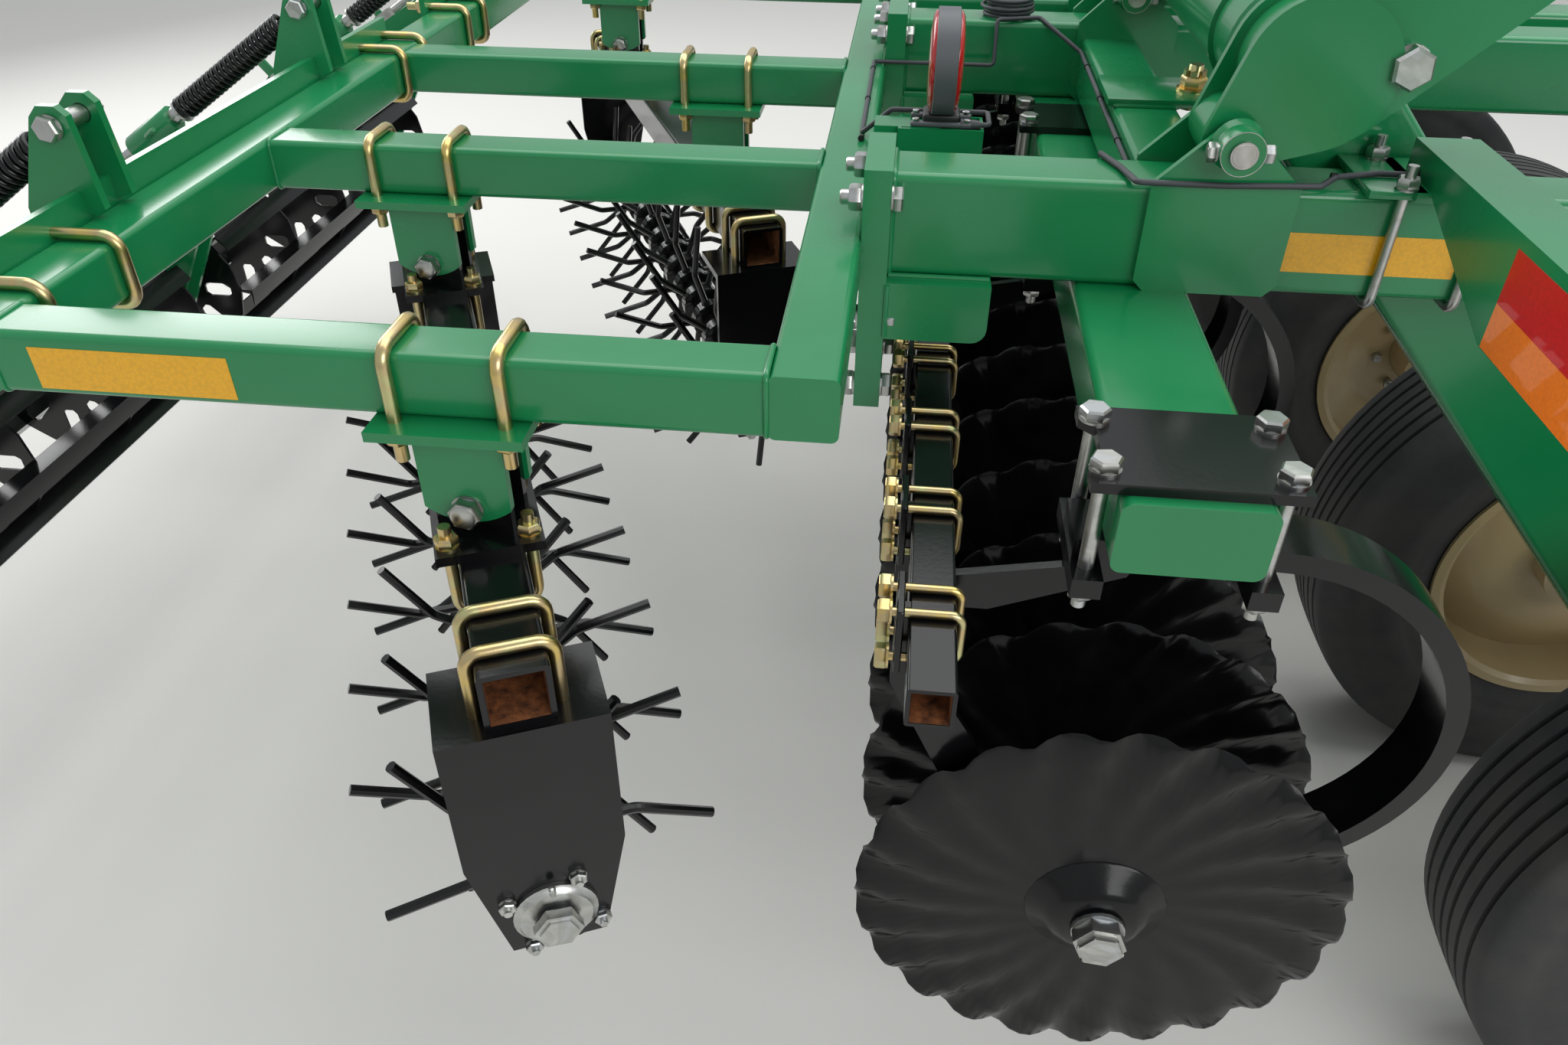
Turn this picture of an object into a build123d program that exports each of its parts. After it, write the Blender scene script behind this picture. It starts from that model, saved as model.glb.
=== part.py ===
# Vertical tillage tool, raised on its wheels for transport and parked on its tongue jack.
# Millimetres. +X forward, +Y left, +Z up, with the floor at Z = 0.
# X = 0 is midway between the rear of the baskets and the nose of the hitch. Y = 0 is the centreline.
from build123d import *
import os
from math import asin, atan2, cos, degrees, hypot, radians, sin, sqrt

os.makedirs("parts", exist_ok=True)

# Ladder frame behind the main tubes
ladder_tube = 76.2
ladder_wall = 4.8
ladder_corner = 9.0
ladder_top = 1370.0
ladder_half = 1444.0
rear_bar_x = -2903.0
front_bar_x = -1961.9
cap_thickness = 6.0
rail_offsets = (-1405.9, -744.0, -190.0, 744.0, 1405.9)

# Main tubes and the flanges that bolt the ladder to them
main_width = 102.0
main_height = 137.0
main_wall = 9.5
main_corner = 12.0
main_top = 1446.0
main_front = 1480.0
main_offsets = (-983.0, -105.0, 105.0, 983.0)
flange_thickness = 18.0
flange_width = 156.0
flange_bottom = 1121.0
flange_rise = 12.0
gusset_length = 138.0
gusset_thickness = 12.0
gusset_drop = 95.0

# Cross tubes between the main tubes and across their front ends
mid_tube = 100.0
mid_tube_x = -1508.0
mid_tube_drop = 24.0
front_tube_width = 102.0
front_tube_wall = 16.0

# Gang beams under the main tubes
beam_width = 152.0
beam_height = 83.0
beam_wall = 9.5
beam_corner = 12.0
beam_half = 1538.0
rear_gang_x = -1572.0
front_gang_x = 1300.0
beam_ahead = 4.0

# Coulter gangs
gang_axis_z = 700.0
blade_radius = 305.0
blade_thickness = 6.0
blade_spacing = 190.5
blade_sides = 24
spool_radius = 38.0
gang_end_length = 70.0
bearing_play = 0.05

# C-shanks, each with the gang bearing at its lower end
shank_width = 76.0
shank_thickness = 25.0
shank_radius = 248.0
shank_arc_ahead = 110.0
shank_tail = 100.0
bearing_radius = 62.0
bearing_width = 72.0
clamp_length = 150.0
clamp_overhang = 30.0
clamp_thickness = 12.0
clamp_bar = 32.0
clamp_notch = 16.0
clamp_bolt_in = 26.0

# Scraper bar behind each gang
scraper_tube = 50.8
scraper_wall = 4.8
scraper_behind = 240.0
scraper_z = 1122.0
scraper_half = 1653.0
scraper_thickness = 10.0
scraper_beside = 26.0

# Swept spike gangs hung under the ladder rails
sweep = 0.44
gang_tube = 76.2
gang_tube_wall = 6.4
gang_tube_z = 1098.0
reel_axis_z = 759.0
reel_shaft_radius = 27.0
reel_shaft_wall = 7.0
reel_shaft_closed = 60.0
reel_shaft_over = 46.0
reel_hub_radius = 52.0
reel_hub_width = 34.0
reel_tip_radius = 235.0
reel_bar = 13.0
reel_hub_pitch = 96.0
reel_bars_per_hub = 5
reel_bearing_radius = 48.0

# Rolling baskets and their spring-loaded carriers
basket_x = -3720.0
basket_z = 690.0
basket_radius = 200.0
basket_gap = 60.0
basket_half = 1444.0
basket_bars = 8
basket_bar_width = 44.0
basket_bar_thickness = 4.8
basket_plate = 6.0
basket_slots = 8
basket_slot_radius = 108.0
basket_plates = 5
basket_shaft_radius = 25.0
basket_end_gap = 46.0
carrier_tube = 76.2
carrier_x = -3560.0
carrier_z = 945.0
lug_offset = 345.0
lug_spacing = 62.0
lug_thickness = 12.0
lug_pin_radius = 13.0
lug_pin_play = 0.5
arm_pivot_x = -2995.0
arm_pivot_z = 1350.0
spring_top_x = -2950.0
spring_top_z = 1488.0
spring_foot_x = -3490.0
spring_foot_z = 1132.0

# Rockshaft, wheel arms and lift cranks
pivot_x = -1479.0
pivot_z = 1502.0
pivot_pin_radius = 16.0
bracket_top_radius = 27.0
bracket_thickness = 10.0
bracket_clearance = 6.0
bracket_reach = 90.0
bracket_chamfer = 14.0
rock_tube_x = -1398.0
rock_tube_z = 1580.0
rock_tube_radius = 80.0
rock_tube_wall = 9.5
end_plate_radius = 90.0
end_plate_thickness = 12.0
hub_tube_radius = 38.0
collar_radius = 26.5
collar_length = 38.0
wheel_arm_y = 859.0
wheel_arm_width = 102.0
wheel_arm_depth = 152.0
wheel_arm_wall = 9.5
axle_x = -450.0
crank_tip_x = -1100.0
crank_tip_z = 1790.0
crank_gap = 66.0
crank_thickness = 16.0

# Wheels in pairs astride each arm
wheel_offset = 430.0
tyre_radius = 521.0
tyre_width = 280.0
rim_radius = 286.0
spindle_radius = 32.0
hub_radius = 84.0

# Lift cylinders
anchor_x = -250.0
anchor_z = 1506.0
cylinder_pin_radius = 15.0
cylinder_eye_radius = 30.0
rod_eye_radius = 37.0
rod_eye_play = 10.5
barrel_radius = 50.0
barrel_length = 560.0
rod_radius = 22.0
rod_start = 430.0
eye_length = 60.0

# Tongue, hitch and jack
tongue_hinge_x = 1670.0
tongue_hinge_z = 1377.0
tongue_width = 152.0
tongue_height = 204.0
tongue_wall = 20.0
tongue_front_x = 3690.0
hitch_z = 560.0
tongue_pin_radius = 19.0
brace_tube = 101.6
brace_wall = 12.7
brace_y = 720.0
brace_join = 1300.0
brace_hub = 170.0
hitch_pin_radius = 19.0
jack_x = 3100.0
jack_tube = 76.2
jack_wall = 6.0
jack_leg = 64.1
jack_foot = 220.0

# Values that follow from the sizes above
ladder_z = ladder_top - ladder_tube / 2
ladder_bottom = ladder_top - ladder_tube
main_z = main_top - main_height / 2
main_bottom = main_top - main_height
flange_x = front_bar_x + ladder_tube / 2
main_start = flange_x + 2 * flange_thickness
axle_z = tyre_radius
beam_bottom = main_bottom - beam_height
beam_z = main_bottom - beam_height / 2
shank_z = beam_bottom - shank_thickness / 2
collar_face = main_width / 2 + bracket_thickness
tongue_slope = degrees(atan2(tongue_hinge_z - hitch_z, tongue_front_x - tongue_hinge_x))
tongue_length = hypot(tongue_front_x - tongue_hinge_x, tongue_hinge_z - hitch_z)


def facing_x(x, y=0.0, z=0.0):
    """Plane whose normal is +X, with local x along Y and local y along Z."""
    return Plane(origin=(x, y, z), x_dir=(0, 1, 0), z_dir=(1, 0, 0))


def facing_y(x, y, z):
    """Plane whose normal is +Y, with local x along Z and local y along X."""
    return Plane(origin=(x, y, z), x_dir=(0, 0, 1), z_dir=(0, 1, 0))


def side(y):
    """Side view at one Y, with local x along X and local y along Z."""
    return Plane(origin=(0, y, 0), x_dir=(1, 0, 0), z_dir=(0, -1, 0))


def turned(plane, angle):
    """The same plane with its local x turned about its normal, in degrees."""
    turn = radians(angle)
    return Plane(origin=plane.origin, x_dir=plane.x_dir * cos(turn) + plane.y_dir * sin(turn),
                 z_dir=plane.z_dir)


def box_tube(plane, width, height, wall, length, corner):
    """Rolled rectangular tube with open ends, along the plane's normal."""
    with BuildSketch(plane) as section:
        RectangleRounded(width, height, corner)
        Rectangle(width - 2 * wall, height - 2 * wall, mode=Mode.SUBTRACT)
    extrude(section.sketch, amount=length)


def end_cap(plane, width, height, thickness, corner):
    """Welded plate that closes the end of a rectangular tube."""
    with BuildSketch(plane) as outline:
        RectangleRounded(width, height, corner)
    extrude(outline.sketch, amount=thickness)


def flat_plate(plane, points, thickness, holes=()):
    """Plate centred on the plane, with round holes given as x, y, radius."""
    with BuildSketch(plane) as outline:
        with BuildLine():
            Polyline(*points, close=True)
        make_face()
        for x, y, radius in holes:
            with Locations((x, y)):
                Circle(radius, mode=Mode.SUBTRACT)
    extrude(outline.sketch, amount=thickness / 2, both=True)


def round_bar(plane, radius, length, mode=Mode.ADD):
    """Round bar along the plane's normal."""
    with BuildSketch(plane) as section:
        Circle(radius)
    extrude(section.sketch, amount=length, mode=mode)


def link_plate(plane, start, start_radius, end, end_radius, thickness, holes=()):
    """Teardrop link: two round ends joined by their outer tangents."""
    run = hypot(end[0] - start[0], end[1] - start[1])
    lean = degrees(atan2(end[1] - start[1], end[0] - start[0]))
    spread = degrees(asin((start_radius - end_radius) / run))
    with BuildSketch(plane) as outline:
        with Locations(start):
            Circle(start_radius)
        with Locations(end):
            Circle(end_radius)
        corners = []
        for centre, radius, sides in ((start, start_radius, (1, -1)), (end, end_radius, (-1, 1))):
            for way in sides:
                turn = radians(lean + way * (90 - spread))
                corners.append((centre[0] + radius * cos(turn), centre[1] + radius * sin(turn)))
        with BuildLine():
            Polyline(*corners, close=True)
        make_face()
        for x, y, radius in holes:
            with Locations((x, y)):
                Circle(radius, mode=Mode.SUBTRACT)
    extrude(outline.sketch, amount=thickness / 2, both=True)


# Ladder frame: two cross bars and five fore and aft rails, all 3 inch square tube
bar_length = 2 * (ladder_half - cap_thickness)
with BuildPart() as ladder_bars:
    for bar_x in (front_bar_x, rear_bar_x):
        box_tube(facing_y(bar_x, -bar_length / 2, ladder_z),
                 ladder_tube, ladder_tube, ladder_wall, bar_length, ladder_corner)
        for way in (-1, 1):
            end_cap(facing_y(bar_x, way * bar_length / 2, ladder_z), ladder_tube, ladder_tube,
                    way * cap_thickness, ladder_corner)
ladder_bars.part.label = "ladder_bars"
export_step(ladder_bars.part, "parts/ladder_bars.step")

rail_start = rear_bar_x + ladder_tube / 2
rail_length = front_bar_x - ladder_tube / 2 - rail_start
with BuildPart() as ladder_rails:
    for rail_y in rail_offsets:
        box_tube(facing_x(rail_start, rail_y, ladder_z),
                 ladder_tube, ladder_tube, ladder_wall, rail_length, ladder_corner)
ladder_rails.part.label = "ladder_rails"
export_step(ladder_rails.part, "parts/ladder_rails.step")

# Flange plates: the rear ones are welded to the ladder, the front ones to the main tubes
flange_top = main_top + flange_rise
flange_z = (flange_top + flange_bottom) / 2
with BuildPart() as ladder_flanges:
    for main_y in main_offsets:
        with BuildSketch(facing_x(flange_x, main_y, flange_z)) as flange_outline:
            Rectangle(flange_width, flange_top - flange_bottom)
        extrude(flange_outline.sketch, amount=flange_thickness)
ladder_flanges.part.label = "ladder_flanges"
export_step(ladder_flanges.part, "parts/ladder_flanges.step")

with BuildPart() as main_flanges:
    for main_y in main_offsets:
        with BuildSketch(facing_x(flange_x + flange_thickness, main_y, flange_z)) as flange_outline:
            Rectangle(flange_width, flange_top - flange_bottom)
        extrude(flange_outline.sketch, amount=flange_thickness)
        flat_plate(side(main_y),
                   [(main_start, main_bottom), (main_start + gusset_length, main_bottom),
                    (main_start + gusset_length, main_bottom - gusset_drop / 3),
                    (main_start + gusset_length / 3, main_bottom - gusset_drop),
                    (main_start, main_bottom - gusset_drop)],
                   gusset_thickness)
main_flanges.part.label = "main_flanges"
export_step(main_flanges.part, "parts/main_flanges.step")

# Four main tubes, with the cross tubes between them and across their front ends
with BuildPart() as main_tubes:
    for main_y in main_offsets:
        box_tube(facing_x(main_start, main_y, main_z),
                 main_width, main_height, main_wall, main_front - main_start, main_corner)
main_tubes.part.label = "main_tubes"
export_step(main_tubes.part, "parts/main_tubes.step")

mid_tube_z = main_top - mid_tube_drop - mid_tube / 2
front_tube_half = main_offsets[-1] + main_width / 2
front_tube_x = main_front + front_tube_width / 2
with BuildPart() as cross_tubes:
    for near_y, far_y in zip(main_offsets[:-1], main_offsets[1:]):
        start_y = near_y + collar_face
        box_tube(facing_y(mid_tube_x, start_y, mid_tube_z),
                 mid_tube, mid_tube, ladder_wall, far_y - near_y - 2 * collar_face, ladder_corner)
    box_tube(facing_y(front_tube_x, -front_tube_half, main_z),
             main_height, front_tube_width, front_tube_wall, 2 * front_tube_half, main_corner)
    for way in (-1, 1):
        end_cap(facing_y(front_tube_x, way * front_tube_half, main_z), main_height,
                front_tube_width, way * cap_thickness, main_corner)
cross_tubes.part.label = "cross_tubes"
export_step(cross_tubes.part, "parts/cross_tubes.step")

# Gang beams bolted under the main tubes, with their ends closed
with BuildPart() as gang_beams:
    for gang_x in (rear_gang_x, front_gang_x):
        box_tube(facing_y(gang_x + beam_ahead, -beam_half, beam_z),
                 beam_height, beam_width, beam_wall, 2 * beam_half, beam_corner)
        for way in (-1, 1):
            end_cap(facing_y(gang_x + beam_ahead, way * beam_half, beam_z), beam_height,
                    beam_width, way * cap_thickness, beam_corner)
gang_beams.part.label = "gang_beams"
export_step(gang_beams.part, "parts/gang_beams.step")

# Coulter gangs: the rows are staggered by half a spacing, so the rear row has one blade more
rear_first = -8 * blade_spacing - 25.0
front_first = rear_first + blade_spacing / 2
# Columns: name, gang axis X, first blade Y, number of blades
gang_table = (
    ("rear_right_gang", rear_gang_x, rear_first, 9),
    ("rear_left_gang", rear_gang_x, rear_first + 9 * blade_spacing, 8),
    ("front_right_gang", front_gang_x, front_first, 8),
    ("front_left_gang", front_gang_x, front_first + 8 * blade_spacing, 8),
)
with BuildPart() as blade:
    with BuildSketch(facing_y(0, 0, 0)) as blade_outline:
        RegularPolygon(blade_radius, blade_sides)
    extrude(blade_outline.sketch, amount=blade_thickness / 2, both=True)

for name, gang_x, first_y, blade_count in gang_table:
    last_y = first_y + (blade_count - 1) * blade_spacing
    with BuildPart() as gang:
        round_bar(facing_y(gang_x, first_y - gang_end_length, gang_axis_z),
                  spool_radius, last_y - first_y + 2 * gang_end_length)
        with Locations(*[(gang_x, first_y + n * blade_spacing, gang_axis_z) for n in range(blade_count)]):
            add(blade.part)
    gang.part.label = name
    export_step(gang.part, "parts/" + name + ".step")

# C-shanks: flat spring bar from under the beam, bowed forward and back down to the bearing
# Columns: gang axis X, shank Ys
shank_table = (
    (rear_gang_x, [rear_first + (n + 0.5) * blade_spacing for n in (0, 4, 6, 9, 12, 15)]),
    (front_gang_x, [front_first + (n + 0.5) * blade_spacing for n in (0, 3, 5, 9, 11, 14)]),
)
shank_inner = shank_radius - shank_thickness / 2
shank_outer = shank_radius + shank_thickness / 2
shank_low = shank_z - 2 * shank_radius
with BuildPart() as shank:
    with BuildSketch(side(0)) as shank_outline:
        with BuildLine():
            Line((-shank_tail, shank_z - shank_thickness / 2), (-shank_tail, shank_z + shank_thickness / 2))
            Line((-shank_tail, shank_z + shank_thickness / 2),
                 (shank_arc_ahead, shank_z + shank_thickness / 2))
            CenterArc((shank_arc_ahead, shank_z - shank_radius), shank_outer, 90, -180)
            Line((shank_arc_ahead, shank_low - shank_thickness / 2), (0, shank_low - shank_thickness / 2))
            Line((0, shank_low - shank_thickness / 2), (0, shank_low + shank_thickness / 2))
            Line((0, shank_low + shank_thickness / 2), (shank_arc_ahead, shank_low + shank_thickness / 2))
            CenterArc((shank_arc_ahead, shank_z - shank_radius), shank_inner, -90, 180)
            Line((shank_arc_ahead, shank_z - shank_thickness / 2),
                 (-shank_tail, shank_z - shank_thickness / 2))
        make_face()
    extrude(shank_outline.sketch, amount=shank_width / 2, both=True)
    round_bar(facing_y(0, -bearing_width / 2, gang_axis_z), bearing_radius, bearing_width)
    round_bar(facing_y(0, -shank_width, gang_axis_z), spool_radius + bearing_play, 2 * shank_width,
              mode=Mode.SUBTRACT)

shank_places = [(gang_x, shank_y, 0) for gang_x, shank_ys in shank_table for shank_y in shank_ys]
with BuildPart() as coulter_shanks:
    with Locations(*shank_places):
        add(shank.part)
coulter_shanks.part.label = "coulter_shanks"
export_step(coulter_shanks.part, "parts/coulter_shanks.step")

# Shank clamps: notched plate over the beam, and a cross bar under the shank on each side
clamp_reach = beam_width / 2 + clamp_overhang
with BuildPart() as shank_clamp:
    with BuildSketch(Plane(origin=(beam_ahead, 0, shank_z - shank_thickness / 2))) as clamp_outline:
        with Locations((clamp_bar / 2 - clamp_reach, 0), (clamp_reach - clamp_bar / 2, 0)):
            Rectangle(clamp_bar, clamp_length)
    extrude(clamp_outline.sketch, amount=-clamp_thickness * 2)
    notch = clamp_reach - clamp_notch
    slot = clamp_length / 2 - clamp_bolt_in
    flat_plate(Plane(origin=(beam_ahead, 0, main_bottom + clamp_thickness / 2)),
               [(-clamp_reach, -clamp_length / 2), (clamp_reach, -clamp_length / 2),
                (clamp_reach, clamp_length / 2), (-clamp_reach, clamp_length / 2),
                (-clamp_reach, slot), (-notch, slot - clamp_notch), (-notch, clamp_notch - slot),
                (-clamp_reach, -slot)],
               clamp_thickness)

with BuildPart() as shank_clamps:
    with Locations(*shank_places):
        add(shank_clamp.part)
shank_clamps.part.label = "shank_clamps"
export_step(shank_clamps.part, "parts/shank_clamps.step")

# Scraper bars: open square tube with a strut to each shank and a scraper beside each blade
# Columns: gang axis X, blade Ys, shank Ys
rear_blades = [rear_first + n * blade_spacing for n in range(17)]
front_blades = [front_first + n * blade_spacing for n in range(16)]
scraper_table = (
    (rear_gang_x, rear_blades, shank_table[0][1]),
    (front_gang_x, front_blades, shank_table[1][1]),
)
edge = scraper_tube / 2
shank_under = shank_z - shank_thickness / 2
with BuildPart() as scraper_strut:
    flat_plate(side(0),
               [(edge - scraper_behind - 2, scraper_z - edge), (edge - scraper_behind + 40, scraper_z - edge),
                (-30, shank_under - 45), (-10, shank_under), (-62, shank_under),
                (-64, shank_under - 2 * clamp_thickness - 6),
                (edge - scraper_behind - 2, scraper_z + edge - 6)],
               gusset_thickness)

with BuildPart() as scraper:
    flat_plate(side(scraper_beside),
               [(-edge - 14, scraper_z + edge), (-edge + 2, scraper_z + edge),
                (-edge + 2, scraper_z - edge), (60, scraper_z - 165), (118, scraper_z - 300),
                (70, scraper_z - 318), (-edge - 14, scraper_z - edge - 60)],
               scraper_thickness)

with BuildPart() as scraper_bars:
    for gang_x, blade_ys, shank_ys in scraper_table:
        bar_x = gang_x - scraper_behind
        box_tube(facing_y(bar_x, -scraper_half, scraper_z),
                 scraper_tube, scraper_tube, scraper_wall, 2 * scraper_half, 4.0)
        with Locations(*[(gang_x, shank_y, 0) for shank_y in shank_ys]):
            add(scraper_strut.part)
        with Locations(*[(bar_x, blade_y, 0) for blade_y in blade_ys]):
            add(scraper.part)
scraper_bars.part.label = "scraper_bars"
export_step(scraper_bars.part, "parts/scraper_bars.step")

# Spike gangs: each is swept, so its pieces are placed along its own line
sweep_scale = sqrt(1 + sweep * sweep)
along = (-sweep / sweep_scale, 1 / sweep_scale, 0)
across = (1 / sweep_scale, sweep / sweep_scale, 0)


def on_gang(start, distance, height, beside=0.0):
    """Point at a distance along a spike gang's line, from its near end."""
    return (start[0] + along[0] * distance + across[0] * beside,
            start[1] + along[1] * distance + across[1] * beside, height)


def facing_along(start, distance, height, beside=0.0):
    """Plane across a spike gang, with local x level and local y up."""
    return Plane(origin=on_gang(start, distance, height, beside), x_dir=across,
                 z_dir=(-along[0], -along[1], 0))


def facing_down(start, distance, height):
    """Level plane turned to a spike gang, with local x across and local y along it."""
    return Plane(origin=on_gang(start, distance, height), x_dir=across, z_dir=(0, 0, 1))


bracket_a = (-2345.0, rail_offsets[0])
bracket_b = (-2244.0, rail_offsets[2])
# Columns: name, near end X and Y, length, distances of its two hangers from the near end
spike_table = []
for name, bracket, near_y, far_y, rails in (
        ("a", bracket_a, -1662.0, -488.0, (rail_offsets[0], rail_offsets[1])),
        ("b", bracket_b, -456.0, 1009.0, (rail_offsets[2], rail_offsets[3]))):
    near = (bracket[0] - sweep * (near_y - bracket[1]), near_y)
    hangers = [(rail_y - near_y) * sweep_scale for rail_y in rails]
    spike_table.append((name, near, (far_y - near_y) * sweep_scale, hangers))

with BuildPart() as spike_gang_tubes:
    for name, near, length, hangers in spike_table:
        box_tube(facing_along(near, 0, gang_tube_z), gang_tube, gang_tube, gang_tube_wall,
                 -length, 6.0)
spike_gang_tubes.part.label = "spike_gang_tubes"
export_step(spike_gang_tubes.part, "parts/spike_gang_tubes.step")

ear_width = 102.0
ear_bolt_z = 1178.0
ear_bottom = 1160.0
ear_apart = 84.0
hanger_plate = (176.0, 150.0, 12.0)
with BuildPart() as reel_brackets:
    for name, near, length, hangers in spike_table:
        for hanger in hangers:
            x, y, z = on_gang(near, hanger, ladder_bottom)
            with BuildSketch(Plane(origin=(x, y, ladder_bottom))) as hanger_outline:
                Rectangle(hanger_plate[0], hanger_plate[1])
            extrude(hanger_outline.sketch, amount=-hanger_plate[2])
            top = ladder_bottom - hanger_plate[2]
            for way in (-1, 1):
                with BuildSketch(side(y + way * (ear_apart - lug_thickness) / 2)) as ear_outline:
                    with BuildLine():
                        Line((x - ear_width / 2, top), (x + ear_width / 2, top))
                        Line((x + ear_width / 2, top), (x + ear_width / 2, ear_bolt_z))
                        ThreePointArc((x + ear_width / 2, ear_bolt_z), (x, ear_bottom),
                                      (x - ear_width / 2, ear_bolt_z))
                        Line((x - ear_width / 2, ear_bolt_z), (x - ear_width / 2, top))
                    make_face()
                extrude(ear_outline.sketch, amount=lug_thickness / 2, both=True)
reel_brackets.part.label = "reel_brackets"
export_step(reel_brackets.part, "parts/reel_brackets.step")

yoke_plate = (124.0, 168.0, 12.0)
gang_tube_top = gang_tube_z + gang_tube / 2
with BuildPart() as reel_yokes:
    for name, near, length, hangers in spike_table:
        for hanger in hangers:
            x, y, z = on_gang(near, hanger, gang_tube_top)
            with BuildSketch(facing_down(near, hanger, gang_tube_top)) as yoke_outline:
                Rectangle(yoke_plate[0], yoke_plate[1])
            extrude(yoke_outline.sketch, amount=yoke_plate[2])
            with BuildSketch(Plane(origin=(x, y, gang_tube_top))) as riser_outline:
                Rectangle(ear_width - lug_thickness, ear_apart - 2 * lug_thickness)
                Rectangle(ear_width, ear_apart - 4 * lug_thickness, mode=Mode.SUBTRACT)
            extrude(riser_outline.sketch, amount=ladder_bottom - hanger_plate[2] - 8 - gang_tube_top)
reel_yokes.part.label = "reel_yokes"
export_step(reel_yokes.part, "parts/reel_yokes.step")

# Standards: bent plate under each end of a gang tube, with the reel's flange bearing
standard_width = 184.0
standard_depth = 120.0
standard_plate = 12.0
gang_tube_bottom = gang_tube_z - gang_tube / 2
standard_drop = gang_tube_bottom - reel_axis_z + reel_bearing_radius + 12
with BuildPart() as reel_standards:
    for name, near, length, hangers in spike_table:
        for start, way in ((-10.0, 1), (length + 10.0, -1)):
            with BuildSketch(facing_down(near, start + way * standard_depth / 2,
                                         gang_tube_bottom)) as top_outline:
                Rectangle(standard_width, standard_depth)
            extrude(top_outline.sketch, amount=-standard_plate)
            web_plane = facing_along(near, start + way * standard_plate / 2, gang_tube_bottom)
            half = standard_width / 2
            flat_plate(web_plane,
                       [(-half, 0), (half, 0), (half, -standard_drop * 0.55),
                        (half * 0.62, -standard_drop), (-half * 0.62, -standard_drop),
                        (-half, -standard_drop * 0.55)],
                       standard_plate,
                       [(0, reel_axis_z - gang_tube_bottom, reel_shaft_radius + bearing_play)])
reel_standards.part.label = "reel_standards"
export_step(reel_standards.part, "parts/reel_standards.step")

# Spike reels: a closed tube as shaft with hubs, each hub with bars that bend back towards their tips
reel_margin = 62.0
reel_knee = 122.0
tip_lean = 24.0
bar_root = reel_hub_radius - 10
tip_x = reel_knee + (reel_tip_radius - reel_knee) * cos(radians(tip_lean))
tip_y = -(reel_tip_radius - reel_knee) * sin(radians(tip_lean))
half_bar = reel_bar / 2
with BuildPart() as reel_hub:
    with BuildSketch(Plane.XY) as hub_outline:
        RegularPolygon(reel_hub_radius, 10)
    extrude(hub_outline.sketch, amount=reel_hub_width / 2, both=True)
    with BuildSketch(Plane.XY) as bar_outline:
        with PolarLocations(0, reel_bars_per_hub):
            Polygon((bar_root, half_bar), (reel_knee, half_bar), (tip_x, tip_y + half_bar),
                    (tip_x, tip_y - half_bar), (reel_knee, -half_bar), (bar_root, -half_bar), align=None)
    extrude(bar_outline.sketch, amount=half_bar, both=True)

for name, near, length, hangers in spike_table:
    reel_hubs = int((length - 2 * reel_margin) // reel_hub_pitch)
    first_hub = (length - (reel_hubs - 1) * reel_hub_pitch) / 2
    hub_places = []
    for index in range(reel_hubs):
        hub_plane = facing_along(near, first_hub + index * reel_hub_pitch, reel_axis_z)
        hub_places.append(turned(hub_plane, 180 / reel_bars_per_hub * (index % 2)).location)
    with BuildPart() as spike_reel:
        round_bar(facing_along(near, -reel_shaft_over, reel_axis_z), reel_shaft_radius,
                  -(length + 2 * reel_shaft_over))
        with Locations(*hub_places):
            add(reel_hub.part)
        round_bar(facing_along(near, reel_shaft_closed - reel_shaft_over, reel_axis_z),
                  reel_shaft_radius - reel_shaft_wall,
                  2 * (reel_shaft_closed - reel_shaft_over) - length, mode=Mode.SUBTRACT)
    spike_reel.part.label = "spike_reel_" + name
    export_step(spike_reel.part, "parts/spike_reel_" + name + ".step")

# Basket carriers: clamp bar with lug pairs, arms, cross tube with standards, and springs
basket_centre = (basket_half + basket_gap / 2) / 2
bar_rear_x = rear_bar_x - ladder_tube / 2
clamp_bar_half = 628.0
clamp_strip_height = 150.0
lug_rows = [way * basket_centre + offset for way in (-1, 1) for offset in (-lug_offset, lug_offset)]
with BuildPart() as basket_lugs:
    for way in (-1, 1):
        with BuildSketch(facing_y(bar_rear_x - lug_thickness / 2, way * basket_centre - clamp_bar_half,
                                  ladder_z)) as strip_outline:
            Rectangle(clamp_strip_height, lug_thickness)
        extrude(strip_outline.sketch, amount=2 * clamp_bar_half)
    for lug_y in lug_rows:
        for way in (-1, 1):
            flat_plate(side(lug_y + way * lug_spacing / 2),
                       [(bar_rear_x - lug_thickness + 2, ladder_bottom + 4),
                        (bar_rear_x - lug_thickness + 2, ladder_top),
                        (spring_top_x + 34, ladder_top + 12),
                        (spring_top_x + 24, spring_top_z + 14), (spring_top_x + 12, spring_top_z + 26),
                        (spring_top_x - 12, spring_top_z + 26), (spring_top_x - 26, spring_top_z + 12),
                        (arm_pivot_x - 30, arm_pivot_z + 30), (arm_pivot_x - 30, arm_pivot_z - 34)],
                       lug_thickness, [(spring_top_x, spring_top_z, lug_pin_radius),
                                       (arm_pivot_x, arm_pivot_z, lug_pin_radius)])
basket_lugs.part.label = "basket_lugs"
export_step(basket_lugs.part, "parts/basket_lugs.step")

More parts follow.
